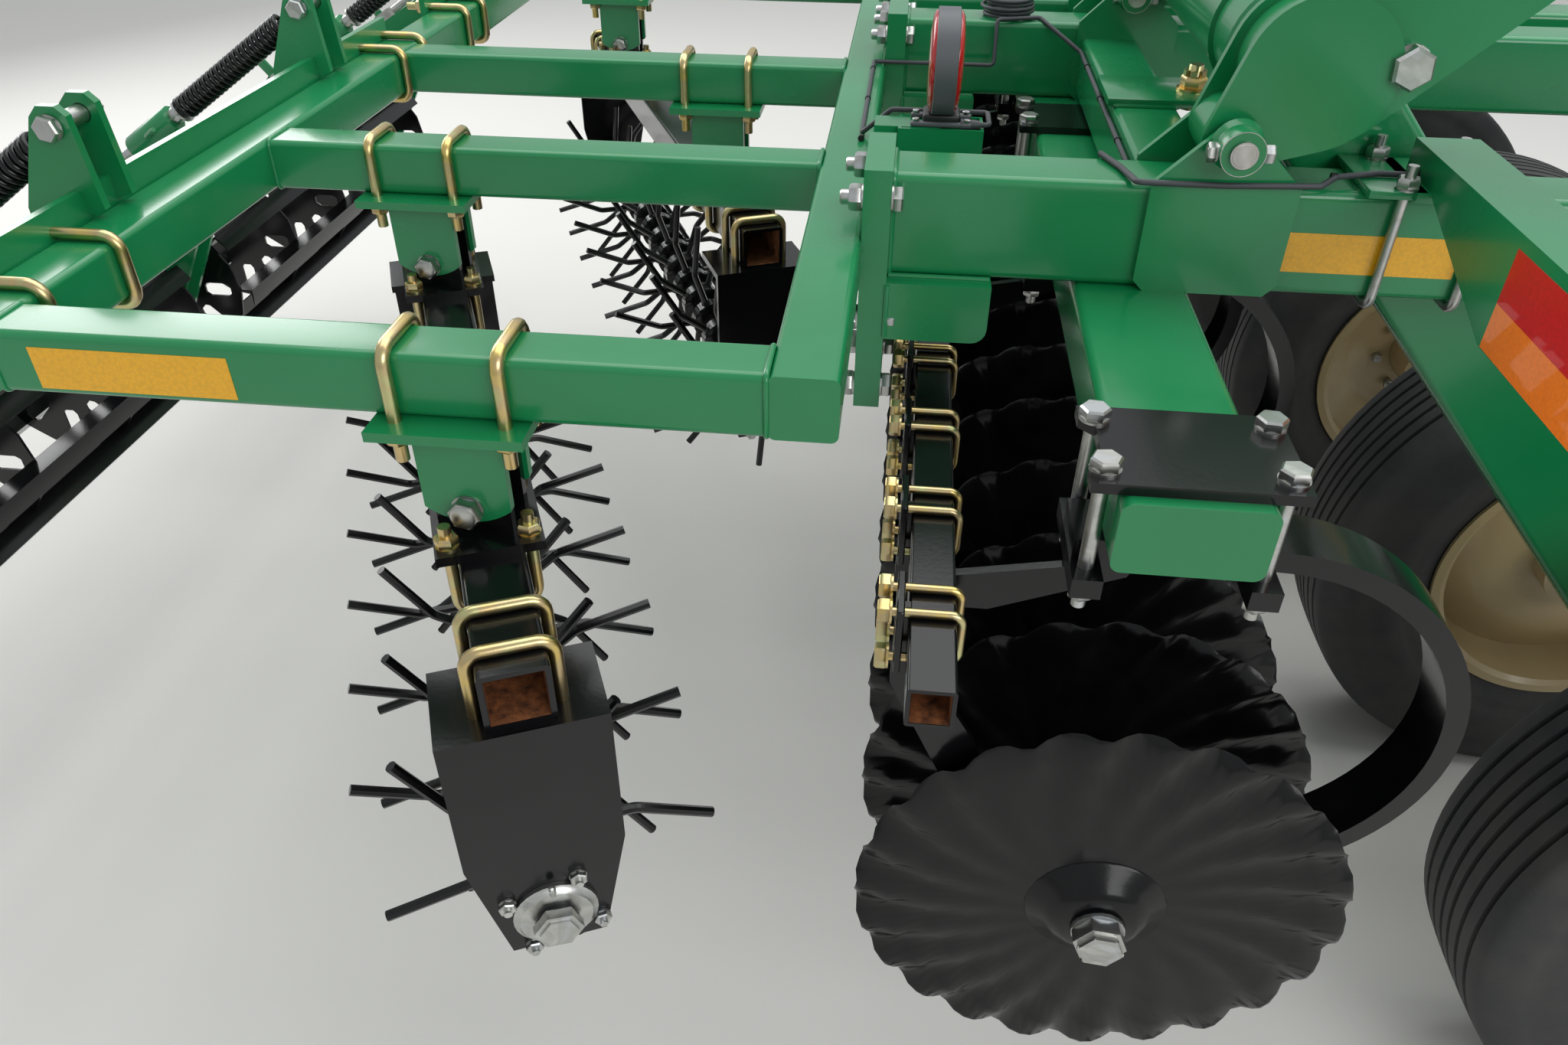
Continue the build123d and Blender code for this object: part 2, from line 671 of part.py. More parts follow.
arm_depth = 64.0
fork_gap = 14.0
fork_plate = 8.0
fork_pin_radius = 8.0
arm_thickness = 38.0
arm_wall = 6.0
arm_fall = carrier_z + carrier_tube / 2 + arm_depth / 2 - arm_pivot_z
arm_run = hypot(carrier_x - arm_pivot_x, arm_fall)
with BuildPart() as basket_arms:
    for lug_y in lug_rows:
        link_plate(side(lug_y), (arm_pivot_x, arm_pivot_z), arm_depth / 2,
                   (carrier_x, carrier_z + carrier_tube / 2 + arm_depth / 2), arm_depth / 2 - 0.5,
                   arm_thickness, [(arm_pivot_x, arm_pivot_z, lug_pin_radius)])
        arm_plane = Plane(origin=(arm_pivot_x, lug_y, arm_pivot_z), x_dir=(0, 1, 0),
                          z_dir=((carrier_x - arm_pivot_x) / arm_run, 0, arm_fall / arm_run))
        with BuildSketch(arm_plane.offset(arm_depth)) as hollow_outline:
            Rectangle(arm_thickness - 2 * arm_wall, arm_depth - 2 * arm_wall)
        extrude(hollow_outline.sketch, amount=arm_run - 2 * arm_depth, mode=Mode.SUBTRACT)
        flat_plate(side(lug_y),
                   [(spring_foot_x - 42, carrier_z + carrier_tube / 2 + 60),
                    (spring_foot_x + 42, carrier_z + carrier_tube / 2 + 60),
                    (spring_foot_x + 18, spring_foot_z + 6), (spring_foot_x + 8, spring_foot_z + 18),
                    (spring_foot_x - 8, spring_foot_z + 18), (spring_foot_x - 18, spring_foot_z + 6)],
                   fork_gap - 2, [(spring_foot_x, spring_foot_z, fork_pin_radius)])
basket_arms.part.label = "basket_arms"
export_step(basket_arms.part, "parts/basket_arms.step")

basket_length = basket_half - basket_gap / 2 - 2 * standard_plate
with BuildPart() as basket_carriers:
    for way in (-1, 1):
        tube_start = way * basket_centre - basket_length / 2
        box_tube(facing_y(carrier_x, tube_start, carrier_z), carrier_tube, carrier_tube,
                 ladder_wall, basket_length, 6.0)
basket_carriers.part.label = "basket_carriers"
export_step(basket_carriers.part, "parts/basket_carriers.step")

# Plate standards that close the carrier's ends and hold the basket's bearings
half = carrier_tube / 2
with BuildPart() as basket_standards:
    for way in (-1, 1):
        for end in (-1, 1):
            web_y = way * basket_centre + end * (basket_length / 2 + standard_plate / 2)
            flat_plate(side(web_y),
                       [(carrier_x - half, carrier_z + half), (carrier_x + half, carrier_z + half),
                        (carrier_x + half, carrier_z - half), (basket_x + 62, basket_z - 30),
                        (basket_x + 30, basket_z - 62), (basket_x - 40, basket_z - 50),
                        (basket_x - 62, basket_z), (basket_x - 50, basket_z + 60)],
                       standard_plate,
                       [(basket_x, basket_z, basket_shaft_radius + bearing_play)])
basket_standards.part.label = "basket_standards"
export_step(basket_standards.part, "parts/basket_standards.step")

# Down-pressure springs: a rod from the lug to the arm's tail, with a coil spring and a sleeve
spring_run = hypot(spring_top_x - spring_foot_x, spring_top_z - spring_foot_z)
spring_way = ((spring_foot_x - spring_top_x) / spring_run, (spring_foot_z - spring_top_z) / spring_run)
# Columns: start and end along the rod, radius
spring_stages = ((0.0, 90.0, 15.0), (60.0, 356.0, 24.0), (356.0, 380.0, 17.0), (380.0, 500.0, 25.0),
                 (500.0, spring_run - 34, 12.0))
with BuildPart() as basket_springs:
    for lug_y in lug_rows:
        for start, end, radius in spring_stages:
            origin = (spring_top_x + spring_way[0] * start, lug_y, spring_top_z + spring_way[1] * start)
            with BuildSketch(Plane(origin=origin, x_dir=(0, 1, 0),
                                   z_dir=(spring_way[0], 0, spring_way[1]))) as stage_outline:
                RegularPolygon(radius, 10)
            extrude(stage_outline.sketch, amount=end - start)
        round_bar(facing_y(spring_top_x, lug_y - lug_spacing / 2 - 14, spring_top_z),
                  lug_pin_radius - lug_pin_play, lug_spacing + 28)
        for way in (-1, 1):
            link_plate(side(lug_y + way * (fork_gap + fork_plate) / 2),
                       (spring_foot_x - spring_way[0] * 44, spring_foot_z - spring_way[1] * 44), 15.0,
                       (spring_foot_x, spring_foot_z), 14.9, fork_plate)
        round_bar(facing_y(spring_foot_x, lug_y - 20, spring_foot_z), fork_pin_radius, 40)
basket_springs.part.label = "basket_springs"
export_step(basket_springs.part, "parts/basket_springs.step")

# Rolling baskets: angle bars on perforated plates, with a stub shaft at each end
cage_length = basket_length - 2 * basket_end_gap
bar_flange_radius = basket_radius - basket_bar_thickness / 2
plate_radius = basket_radius - basket_bar_width
stub_length = basket_end_gap + standard_plate + 22
with BuildPart() as basket_cage:
    with BuildSketch(facing_y(0, basket_end_gap, 0)) as bars_outline:
        with PolarLocations(basket_radius - basket_bar_width / 2, basket_bars):
            Rectangle(basket_bar_width, basket_bar_thickness)
        with PolarLocations(bar_flange_radius, basket_bars):
            with Locations((0, (basket_bar_width - basket_bar_thickness) / 2)):
                Rectangle(basket_bar_thickness, basket_bar_width)
        Circle(basket_radius, mode=Mode.INTERSECT)
    extrude(bars_outline.sketch, amount=cage_length)
    for index in range(basket_plates):
        plate_y = basket_end_gap + (cage_length - basket_plate) * index / (basket_plates - 1)
        with BuildSketch(facing_y(0, plate_y, 0)) as plate_outline:
            RegularPolygon(plate_radius + 14, 16)
            with PolarLocations(basket_slot_radius, basket_slots):
                Polygon((-34, -10), (-24, -17), (24, -17), (34, -10), (34, 10), (24, 17), (-24, 17),
                        (-34, 10), mode=Mode.SUBTRACT)
        extrude(plate_outline.sketch, amount=basket_plate)
    for start in (basket_end_gap - stub_length, basket_end_gap + cage_length):
        round_bar(facing_y(0, start, 0), basket_shaft_radius, stub_length)

for name, way in (("right_basket", -1), ("left_basket", 1)):
    with BuildPart() as basket:
        with Locations((basket_x, way * basket_centre - basket_length / 2, basket_z)):
            add(basket_cage.part)
    basket.part.label = name
    export_step(basket.part, "parts/" + name + ".step")

# Pivot brackets: a plate on each side of a main tube, rising to the rockshaft's pin
bracket_inset = main_width / 2 + bracket_thickness / 2
with BuildPart() as pivot_brackets:
    for main_y in main_offsets:
        for way in (-1, 1):
            flat_plate(side(main_y + way * bracket_inset),
                       [(pivot_x - bracket_reach, main_bottom + bracket_chamfer),
                        (pivot_x - bracket_reach + bracket_chamfer, main_bottom),
                        (pivot_x + bracket_reach - bracket_chamfer, main_bottom),
                        (pivot_x + bracket_reach, main_bottom + bracket_chamfer),
                        (pivot_x + bracket_reach, main_top + 4),
                        (pivot_x + bracket_top_radius * 0.94, pivot_z + 9),
                        (pivot_x + bracket_top_radius * 0.5, pivot_z + bracket_top_radius * 0.86),
                        (pivot_x, pivot_z + bracket_top_radius),
                        (pivot_x - bracket_top_radius * 0.7, pivot_z + bracket_top_radius * 0.7),
                        (pivot_x - bracket_reach, main_top + 4)],
                       bracket_thickness, [(pivot_x, pivot_z, pivot_pin_radius)])
pivot_brackets.part.label = "pivot_brackets"
export_step(pivot_brackets.part, "parts/pivot_brackets.step")

# Rockshaft: round tube over the main tubes, closed by its end plates
rock_half = main_offsets[-1] + main_width / 2 - bracket_clearance
hub_half = main_width / 2 - bracket_clearance
with BuildPart() as rockshaft:
    round_bar(facing_y(rock_tube_x, -rock_half, rock_tube_z), rock_tube_radius, 2 * rock_half)
    round_bar(facing_y(rock_tube_x, cap_thickness - rock_half, rock_tube_z),
              rock_tube_radius - rock_tube_wall, 2 * (rock_half - cap_thickness), mode=Mode.SUBTRACT)
rockshaft.part.label = "rockshaft"
export_step(rockshaft.part, "parts/rockshaft.step")

# Rockshaft hubs: two teardrop plates and a pin sleeve at each main tube
with BuildPart() as rockshaft_hubs:
    for main_y in main_offsets:
        round_bar(facing_y(pivot_x, main_y - hub_half, pivot_z), hub_tube_radius, 2 * hub_half)
        for way in (-1, 1):
            link_plate(side(main_y + way * (hub_half - end_plate_thickness / 2)),
                       (rock_tube_x, rock_tube_z), end_plate_radius,
                       (pivot_x, pivot_z), hub_tube_radius, end_plate_thickness)
        round_bar(facing_y(pivot_x, main_y - 2 * hub_half, pivot_z),
                  pivot_pin_radius + bearing_play, 4 * hub_half, mode=Mode.SUBTRACT)
        round_bar(facing_y(rock_tube_x, main_y - 2 * hub_half, rock_tube_z), rock_tube_radius,
                  4 * hub_half, mode=Mode.SUBTRACT)
rockshaft_hubs.part.label = "rockshaft_hubs"
export_step(rockshaft_hubs.part, "parts/rockshaft_hubs.step")

# Lift cranks: two plates round the rockshaft at each cylinder, with the rod's pin between them
with BuildPart() as lift_cranks:
    for crank_y in (main_offsets[0], main_offsets[-1]):
        for way in (-1, 1):
            link_plate(side(crank_y + way * (crank_gap - crank_thickness) / 2),
                       (rock_tube_x + 20, rock_tube_z), end_plate_radius - 6,
                       (crank_tip_x, crank_tip_z), 44.0, crank_thickness)
        round_bar(facing_y(crank_tip_x, crank_y - crank_gap / 2 - 8, crank_tip_z),
                  cylinder_pin_radius, crank_gap + 16)
        round_bar(facing_y(rock_tube_x, crank_y - crank_gap, rock_tube_z), rock_tube_radius,
                  2 * crank_gap, mode=Mode.SUBTRACT)
lift_cranks.part.label = "lift_cranks"
export_step(lift_cranks.part, "parts/lift_cranks.step")

# Wheel arms: box arms from the rockshaft to the axle, with a round end and doubler plates
arm_way = (axle_x - rock_tube_x, axle_z - rock_tube_z)
arm_full = hypot(*arm_way)
arm_dir = (arm_way[0] / arm_full, arm_way[1] / arm_full)
with BuildPart() as wheel_arms:
    for way in (-1, 1):
        start = (rock_tube_x, way * wheel_arm_y, rock_tube_z)
        arm_plane = Plane(origin=start, x_dir=(0, 1, 0), z_dir=(arm_dir[0], 0, arm_dir[1]))
        box_tube(arm_plane, wheel_arm_width, wheel_arm_depth, wheel_arm_wall, arm_full, 12.0)
        round_bar(facing_y(axle_x, way * wheel_arm_y - wheel_arm_width / 2, axle_z),
                  wheel_arm_depth / 2, wheel_arm_width)
        round_bar(facing_y(rock_tube_x, way * wheel_arm_y - wheel_arm_width, rock_tube_z),
                  rock_tube_radius, 2 * wheel_arm_width, mode=Mode.SUBTRACT)
        round_bar(facing_y(axle_x, way * wheel_arm_y - wheel_arm_width, axle_z),
                  spindle_radius + 6, 2 * wheel_arm_width, mode=Mode.SUBTRACT)
wheel_arms.part.label = "wheel_arms"
export_step(wheel_arms.part, "parts/wheel_arms.step")

hub_half_length = 90.0
with BuildPart() as axle_spindles:
    for way in (-1, 1):
        low_y = way * wheel_arm_y - wheel_offset - hub_half_length + 20
        round_bar(facing_y(axle_x, low_y, axle_z), spindle_radius,
                  2 * (wheel_offset + hub_half_length - 20))
        round_bar(facing_y(axle_x, way * wheel_arm_y - wheel_offset + hub_half_length + 6, axle_z),
                  spindle_radius + 6, 2 * (wheel_offset - hub_half_length - 6))
axle_spindles.part.label = "axle_spindles"
export_step(axle_spindles.part, "parts/axle_spindles.step")

# Wheels: a ribbed tyre, a dished rim and a hub for each, two to an arm
# Columns: distance from the wheel's middle, radius
tyre_outline = ((-96, rim_radius), (-98, 306), (-124, 332), (-tyre_width / 2, 400), (-132, 470),
                (-112, 512), (-96, tyre_radius), (96, tyre_radius), (112, 512), (132, 470),
                (tyre_width / 2, 400), (124, 332), (98, 306), (96, rim_radius))
rim_profile = ((-112, rim_radius - 1), (-112, rim_radius + 16), (-104, rim_radius + 16),
               (-98, rim_radius - 1), (98, rim_radius - 1), (104, rim_radius + 16),
               (112, rim_radius + 16), (112, rim_radius - 1), (104, rim_radius - 12),
               (22, rim_radius - 12), (-30, 170), (-30, hub_radius), (-42, hub_radius), (-42, 176),
               (8, rim_radius - 12), (-104, rim_radius - 12))
# Columns: name, then Y and dish direction of its two wheels
wheel_table = (
    ("right", ((-wheel_arm_y - wheel_offset, -1), (-wheel_arm_y + wheel_offset, 1))),
    ("left", ((wheel_arm_y - wheel_offset, -1), (wheel_arm_y + wheel_offset, 1))),
)
axle_line = Axis((axle_x, 0, axle_z), (0, 1, 0))
for name, twins in wheel_table:
    with BuildPart() as tyres:
        for wheel_y, dish in twins:
            with BuildSketch(facing_x(axle_x, wheel_y, axle_z)) as tyre_section:
                with BuildLine():
                    Polyline(*tyre_outline, close=True)
                make_face()
            revolve(tyre_section.sketch, axis=axle_line)
    tyres.part.label = name + "_tyres"
    export_step(tyres.part, "parts/" + name + "_tyres.step")
    with BuildPart() as rims:
        for wheel_y, dish in twins:
            with BuildSketch(facing_x(axle_x, wheel_y, axle_z)) as rim_section:
                with BuildLine():
                    Polyline(*[(dish * y, r) for y, r in rim_profile], close=True)
                make_face()
            revolve(rim_section.sketch, axis=axle_line)
            round_bar(facing_y(axle_x, wheel_y - hub_half_length, axle_z), hub_radius,
                      2 * hub_half_length)
            round_bar(facing_y(axle_x, wheel_y - 2 * hub_half_length, axle_z),
                      spindle_radius + bearing_play, 4 * hub_half_length, mode=Mode.SUBTRACT)
    rims.part.label = name + "_rims"
    export_step(rims.part, "parts/" + name + "_rims.step")

# Lift cylinders: anchored on the outer main tubes, with the rod's eye on the crank
cylinder_run = hypot(crank_tip_x - anchor_x, crank_tip_z - anchor_z)
cylinder_dir = ((crank_tip_x - anchor_x) / cylinder_run, (crank_tip_z - anchor_z) / cylinder_run)


def cylinder_plane(y, distance):
    """Plane across a lift cylinder at a distance from its anchor pin."""
    origin = (anchor_x + cylinder_dir[0] * distance, y, anchor_z + cylinder_dir[1] * distance)
    return Plane(origin=origin, x_dir=(0, 1, 0), z_dir=(cylinder_dir[0], 0, cylinder_dir[1]))


with BuildPart() as cylinder_anchors:
    for anchor_y in (main_offsets[0], main_offsets[-1]):
        for way in (-1, 1):
            flat_plate(side(anchor_y + way * (crank_gap - crank_thickness) / 2),
                       [(anchor_x - 70, main_top), (anchor_x + 70, main_top),
                        (anchor_x + 30, anchor_z + 22), (anchor_x + 12, anchor_z + 34),
                        (anchor_x - 12, anchor_z + 34), (anchor_x - 30, anchor_z + 22)],
                       crank_thickness, [(anchor_x, anchor_z, cylinder_pin_radius + bearing_play)])
cylinder_anchors.part.label = "cylinder_anchors"
export_step(cylinder_anchors.part, "parts/cylinder_anchors.step")

inner_gap = crank_gap - 2 * crank_thickness
for name, anchor_y in (("right", main_offsets[0]), ("left", main_offsets[-1])):
    with BuildPart() as barrel:
        round_bar(cylinder_plane(anchor_y, eye_length), barrel_radius, barrel_length)
        with BuildSketch(cylinder_plane(anchor_y, 0)) as eye_outline:
            Rectangle(inner_gap - 2, 2 * cylinder_eye_radius)
        extrude(eye_outline.sketch, amount=eye_length)
        round_bar(facing_y(anchor_x, anchor_y - inner_gap / 2 + 1, anchor_z), cylinder_eye_radius,
                  inner_gap - 2)
        round_bar(facing_y(anchor_x, anchor_y - inner_gap / 2 + 1, anchor_z), cylinder_pin_radius,
                  inner_gap - 2)
        round_bar(facing_y(anchor_x, anchor_y - crank_gap / 2 - 8, anchor_z), cylinder_pin_radius,
                  crank_gap + 16)
        round_bar(cylinder_plane(anchor_y, 200), rod_radius + bearing_play, barrel_length,
                  mode=Mode.SUBTRACT)
    barrel.part.label = "cylinder_barrel_" + name
    export_step(barrel.part, "parts/cylinder_barrel_" + name + ".step")
    with BuildPart() as rod:
        round_bar(cylinder_plane(anchor_y, rod_start), rod_radius, cylinder_run - rod_start - eye_length)
        with BuildSketch(cylinder_plane(anchor_y, cylinder_run - eye_length)) as rod_eye:
            Rectangle(inner_gap - 2, 2 * rod_eye_radius)
        extrude(rod_eye.sketch, amount=eye_length)
        round_bar(facing_y(crank_tip_x, anchor_y - inner_gap / 2 + 1, crank_tip_z),
                  rod_eye_radius, inner_gap - 2)
        round_bar(facing_y(crank_tip_x, anchor_y - crank_gap, crank_tip_z),
                  cylinder_pin_radius + rod_eye_play, 2 * crank_gap, mode=Mode.SUBTRACT)
    rod.part.label = "cylinder_rod_" + name
    export_step(rod.part, "parts/cylinder_rod_" + name + ".step")

# Tongue: pole tube hung in ears on the front cross tube, held up by a turnbuckle
ear_x = main_front + front_tube_width
ear_gap = 6.0
ear_thickness = 20.0
ear_y = tongue_width / 2 + ear_gap + ear_thickness / 2
brace_ear = brace_hub / 2 + ear_gap + ear_thickness / 2
ear_rows = (-brace_y - brace_ear, brace_ear - brace_y, -ear_y, ear_y, brace_y - brace_ear,
            brace_y + brace_ear)
mast_x = front_tube_x
mast_z = main_top + 190
link_pin_radius = 15.0
link_pin_half = 48.0
with BuildPart() as tongue_ears:
    for ear_at in ear_rows:
        flat_plate(side(ear_at),
                   [(ear_x, main_bottom), (ear_x, main_top), (tongue_hinge_x + 30, main_top - 6),
                    (tongue_hinge_x + 48, tongue_hinge_z), (tongue_hinge_x + 34, tongue_hinge_z - 40),
                    (tongue_hinge_x, main_bottom)],
                   ear_thickness, [(tongue_hinge_x, tongue_hinge_z, tongue_pin_radius)])
    for way in (-1, 1):
        flat_plate(side(way * 32),
                   [(mast_x - 50, main_top), (mast_x + 50, main_top), (mast_x + 26, mast_z + 18),
                    (mast_x + 12, mast_z + 28), (mast_x - 12, mast_z + 28), (mast_x - 26, mast_z + 18)],
                   16.0, [(mast_x, mast_z, link_pin_radius)])
tongue_ears.part.label = "tongue_ears"
export_step(tongue_ears.part, "parts/tongue_ears.step")

tongue_dir = (cos(radians(tongue_slope)), -sin(radians(tongue_slope)))


def on_tongue(distance, rise=0.0):
    """Point on the tongue's side view, along its centre line and square to it."""
    return (tongue_hinge_x + tongue_dir[0] * distance - tongue_dir[1] * rise,
            tongue_hinge_z + tongue_dir[1] * distance + tongue_dir[0] * rise)


link_foot = on_tongue(640, tongue_height / 2 + 34)
with BuildPart() as tongue_tube:
    start_x, start_z = on_tongue(0)
    tongue_plane = Plane(origin=(start_x, 0, start_z), x_dir=(0, 1, 0),
                         z_dir=(tongue_dir[0], 0, tongue_dir[1]))
    box_tube(tongue_plane, tongue_width, tongue_height, tongue_wall, tongue_length - 60, 14.0)
    round_bar(facing_y(tongue_hinge_x, -tongue_width / 2, tongue_hinge_z), tongue_height / 2 - 18,
              tongue_width)
    for way in (-1, 1):
        flat_plate(side(way * 32),
                   [on_tongue(590, tongue_height / 2 - 4), on_tongue(690, tongue_height / 2 - 4),
                    on_tongue(664, tongue_height / 2 + 58), on_tongue(616, tongue_height / 2 + 58)],
                   16.0, [(link_foot[0], link_foot[1], link_pin_radius)])
    round_bar(facing_y(tongue_hinge_x, -tongue_width, tongue_hinge_z), tongue_pin_radius,
              2 * tongue_width, mode=Mode.SUBTRACT)
tongue_tube.part.label = "tongue_tube"
export_step(tongue_tube.part, "parts/tongue_tube.step")

# Tongue braces: a square tube each side from the front cross tube to the tongue
brace_foot = on_tongue(brace_join)
brace_run = (brace_foot[0] - tongue_hinge_x, brace_y, brace_foot[1] - tongue_hinge_z)
brace_length = sqrt(sum(value * value for value in brace_run))
with BuildPart() as tongue_braces:
    for way in (-1, 1):
        brace_plane = Plane(origin=(tongue_hinge_x, way * brace_y, tongue_hinge_z),
                            x_dir=(-tongue_dir[1], 0, tongue_dir[0]),
                            z_dir=(brace_run[0], -way * brace_run[1], brace_run[2]))
        box_tube(brace_plane, brace_tube, brace_tube, brace_wall, brace_length, 8.0)
        round_bar(facing_y(tongue_hinge_x, way * brace_y - brace_hub / 2, tongue_hinge_z),
                  brace_tube / 2, brace_hub)
        round_bar(facing_y(tongue_hinge_x, way * brace_y - brace_hub, tongue_hinge_z),
                  tongue_pin_radius, 2 * brace_hub, mode=Mode.SUBTRACT)
    with BuildSketch(tongue_plane) as tongue_space:
        Rectangle(tongue_width, 2 * tongue_height)
    extrude(tongue_space.sketch, amount=tongue_length, mode=Mode.SUBTRACT)
tongue_braces.part.label = "tongue_braces"
export_step(tongue_braces.part, "parts/tongue_braces.step")

# Hinge pins: one with a bolted collar at each rockshaft pivot, one in each basket arm, and the
# tongue's five
with BuildPart() as hinge_pins:
    for main_y in main_offsets:
        side_way = -1 if main_y < 0 else 1
        outer_y = main_y + side_way * (collar_face + collar_length)
        inner_y = main_y - side_way * (collar_face + 4)
        low_y, high_y = sorted((outer_y + side_way * 5, inner_y))
        round_bar(facing_y(pivot_x, low_y, pivot_z), pivot_pin_radius, high_y - low_y)
        round_bar(facing_y(pivot_x, main_y + side_way * collar_face, pivot_z), collar_radius,
                  side_way * collar_length)
    for middle, reach in ((0, ear_y), (-brace_y, brace_ear), (brace_y, brace_ear)):
        round_bar(facing_y(tongue_hinge_x, middle - reach - 24, tongue_hinge_z), tongue_pin_radius,
                  2 * reach + 48)
    for end_x, end_z in ((mast_x, mast_z), link_foot):
        round_bar(facing_y(end_x, -link_pin_half, end_z), link_pin_radius, 2 * link_pin_half)
    for lug_y in lug_rows:
        round_bar(facing_y(arm_pivot_x, lug_y - lug_spacing / 2 - 14, arm_pivot_z),
                  lug_pin_radius - bearing_play, lug_spacing + 28)
hinge_pins.part.label = "hinge_pins"
export_step(hinge_pins.part, "parts/hinge_pins.step")

link_run = hypot(link_foot[0] - mast_x, link_foot[1] - mast_z)
link_dir = ((link_foot[0] - mast_x) / link_run, (link_foot[1] - mast_z) / link_run)
with BuildPart() as level_turnbuckle:
    for start, end, radius in ((20, link_run - 20, 16.0), (150, link_run - 150, 28.0)):
        origin = (mast_x + link_dir[0] * start, 0, mast_z + link_dir[1] * start)
        round_bar(Plane(origin=origin, x_dir=(0, 1, 0), z_dir=(link_dir[0], 0, link_dir[1])),
                  radius, end - start)
    for end_x, end_z in ((mast_x, mast_z), link_foot):
        round_bar(facing_y(end_x, -22, end_z), 28.0, 44)
        round_bar(facing_y(end_x, -30, end_z), link_pin_radius, 60, mode=Mode.SUBTRACT)
level_turnbuckle.part.label = "level_turnbuckle"
export_step(level_turnbuckle.part, "parts/level_turnbuckle.step")

# Hitch: two jaws on a block in the tongue's front end, bored for the drawbar pin
hitch_jaw = 25.0
hitch_gap = 60.0
hitch_width = 110.0
hitch_pin_x = tongue_front_x + 175
hitch_height = hitch_gap + 2 * hitch_jaw
cap_at = tongue_length - 60
with BuildPart() as hitch_clevis:
    cap_x, cap_z = on_tongue(cap_at)
    with BuildSketch(Plane(origin=(cap_x, 0, cap_z), x_dir=(0, 1, 0),
                           z_dir=(tongue_dir[0], 0, tongue_dir[1]))) as cap_outline:
        Rectangle(tongue_width, tongue_height)
    extrude(cap_outline.sketch, amount=hitch_jaw)
    block_low = hitch_z - hitch_height / 2
    block_high = hitch_z + hitch_height / 2
    seat = cap_x + hitch_jaw / 2 / tongue_dir[0]
    lean = tongue_dir[1] / tongue_dir[0]
    flat_plate(side(0), [(seat - (block_low - cap_z) * lean, block_low), (hitch_pin_x, block_low),
                         (hitch_pin_x, block_high), (seat - (block_high - cap_z) * lean, block_high)],
               hitch_width)
    with BuildSketch(Plane(origin=(hitch_pin_x, 0, block_low))) as nose_outline:
        Circle(hitch_width / 2)
    extrude(nose_outline.sketch, amount=hitch_height)
    with BuildSketch(Plane(origin=(hitch_pin_x, 0, block_low))) as bore_outline:
        Circle(hitch_pin_radius)
    extrude(bore_outline.sketch, amount=hitch_height, mode=Mode.SUBTRACT)
    with BuildSketch(Plane(origin=(hitch_pin_x + 20, 0, hitch_z - hitch_gap / 2))) as gap_outline:
        Rectangle(200, hitch_width + 4)
    extrude(gap_outline.sketch, amount=hitch_gap, mode=Mode.SUBTRACT)
hitch_clevis.part.label = "hitch_clevis"
export_step(hitch_clevis.part, "parts/hitch_clevis.step")

# Jack: square outer tube on the tongue's left side, with a leg that slides in it
tongue_at_jack = tongue_hinge_z - (jack_x - tongue_hinge_x) * sin(radians(tongue_slope)) / cos(
    radians(tongue_slope))
jack_y = tongue_width / 2 + 12 + jack_tube / 2
jack_low = tongue_at_jack - 420
jack_high = tongue_at_jack + 300
with BuildPart() as jack_body:
    box_tube(Plane(origin=(jack_x, jack_y, jack_low)), jack_tube, jack_tube, jack_wall,
             jack_high - jack_low, 5.0)
    flat_plate(Plane(origin=(jack_x, jack_y - jack_tube / 2 - 6, tongue_at_jack), x_dir=(1, 0, 0),
                     z_dir=(0, -1, 0)),
               [(-60, -70), (60, -70), (60, 80), (-60, 80)], 12.0)
    with BuildSketch(Plane(origin=(jack_x, jack_y, jack_high))) as jack_top:
        Rectangle(jack_tube, jack_tube)
    extrude(jack_top.sketch, amount=40)
jack_body.part.label = "jack_body"
export_step(jack_body.part, "parts/jack_body.step")

with BuildPart() as jack_leg_tube:
    with BuildSketch(Plane(origin=(jack_x, jack_y, 10))) as leg_outline:
        Rectangle(jack_leg, jack_leg)
    extrude(leg_outline.sketch, amount=jack_low + 240 - 10)
    with BuildSketch(Plane(origin=(jack_x, jack_y, 0))) as foot_outline:
        Rectangle(jack_foot, jack_foot)
    extrude(foot_outline.sketch, amount=12)
jack_leg_tube.part.label = "jack_leg"
export_step(jack_leg_tube.part, "parts/jack_leg.step")

# Warning lamps on posts ahead of the ladder's front bar
lamp_y = 694.0
post_x = -1824.0
post_width = 128.0
post_depth = 72.0
post_top = 1412.0
post_wall = 5.0
with BuildPart() as lamp_posts:
    for way in (-1, 1):
        with BuildSketch(Plane(origin=(0, way * lamp_y, ladder_bottom))) as post_outline:
            with Locations((post_x, 0)):
                Rectangle(post_width, post_depth)
                Rectangle(post_width - 2 * post_wall, post_depth - 2 * post_wall, mode=Mode.SUBTRACT)
            with Locations(((flange_x + post_x) / 2, 0)):
                Rectangle(post_x - flange_x, post_depth - 20)
        extrude(post_outline.sketch, amount=post_top - ladder_bottom)
lamp_posts.part.label = "lamp_posts"
export_step(lamp_posts.part, "parts/lamp_posts.step")

lamp_radius = 75.0
with BuildPart() as warning_lamps:
    for way in (-1, 1):
        with BuildSketch(Plane(origin=(post_x, way * lamp_y, post_top))) as base_outline:
            Rectangle(100, 58)
        extrude(base_outline.sketch, amount=22)
        round_bar(facing_x(post_x - 26, way * lamp_y, post_top + 14 + lamp_radius), lamp_radius, 52)
warning_lamps.part.label = "warning_lamps"
export_step(warning_lamps.part, "parts/warning_lamps.step")

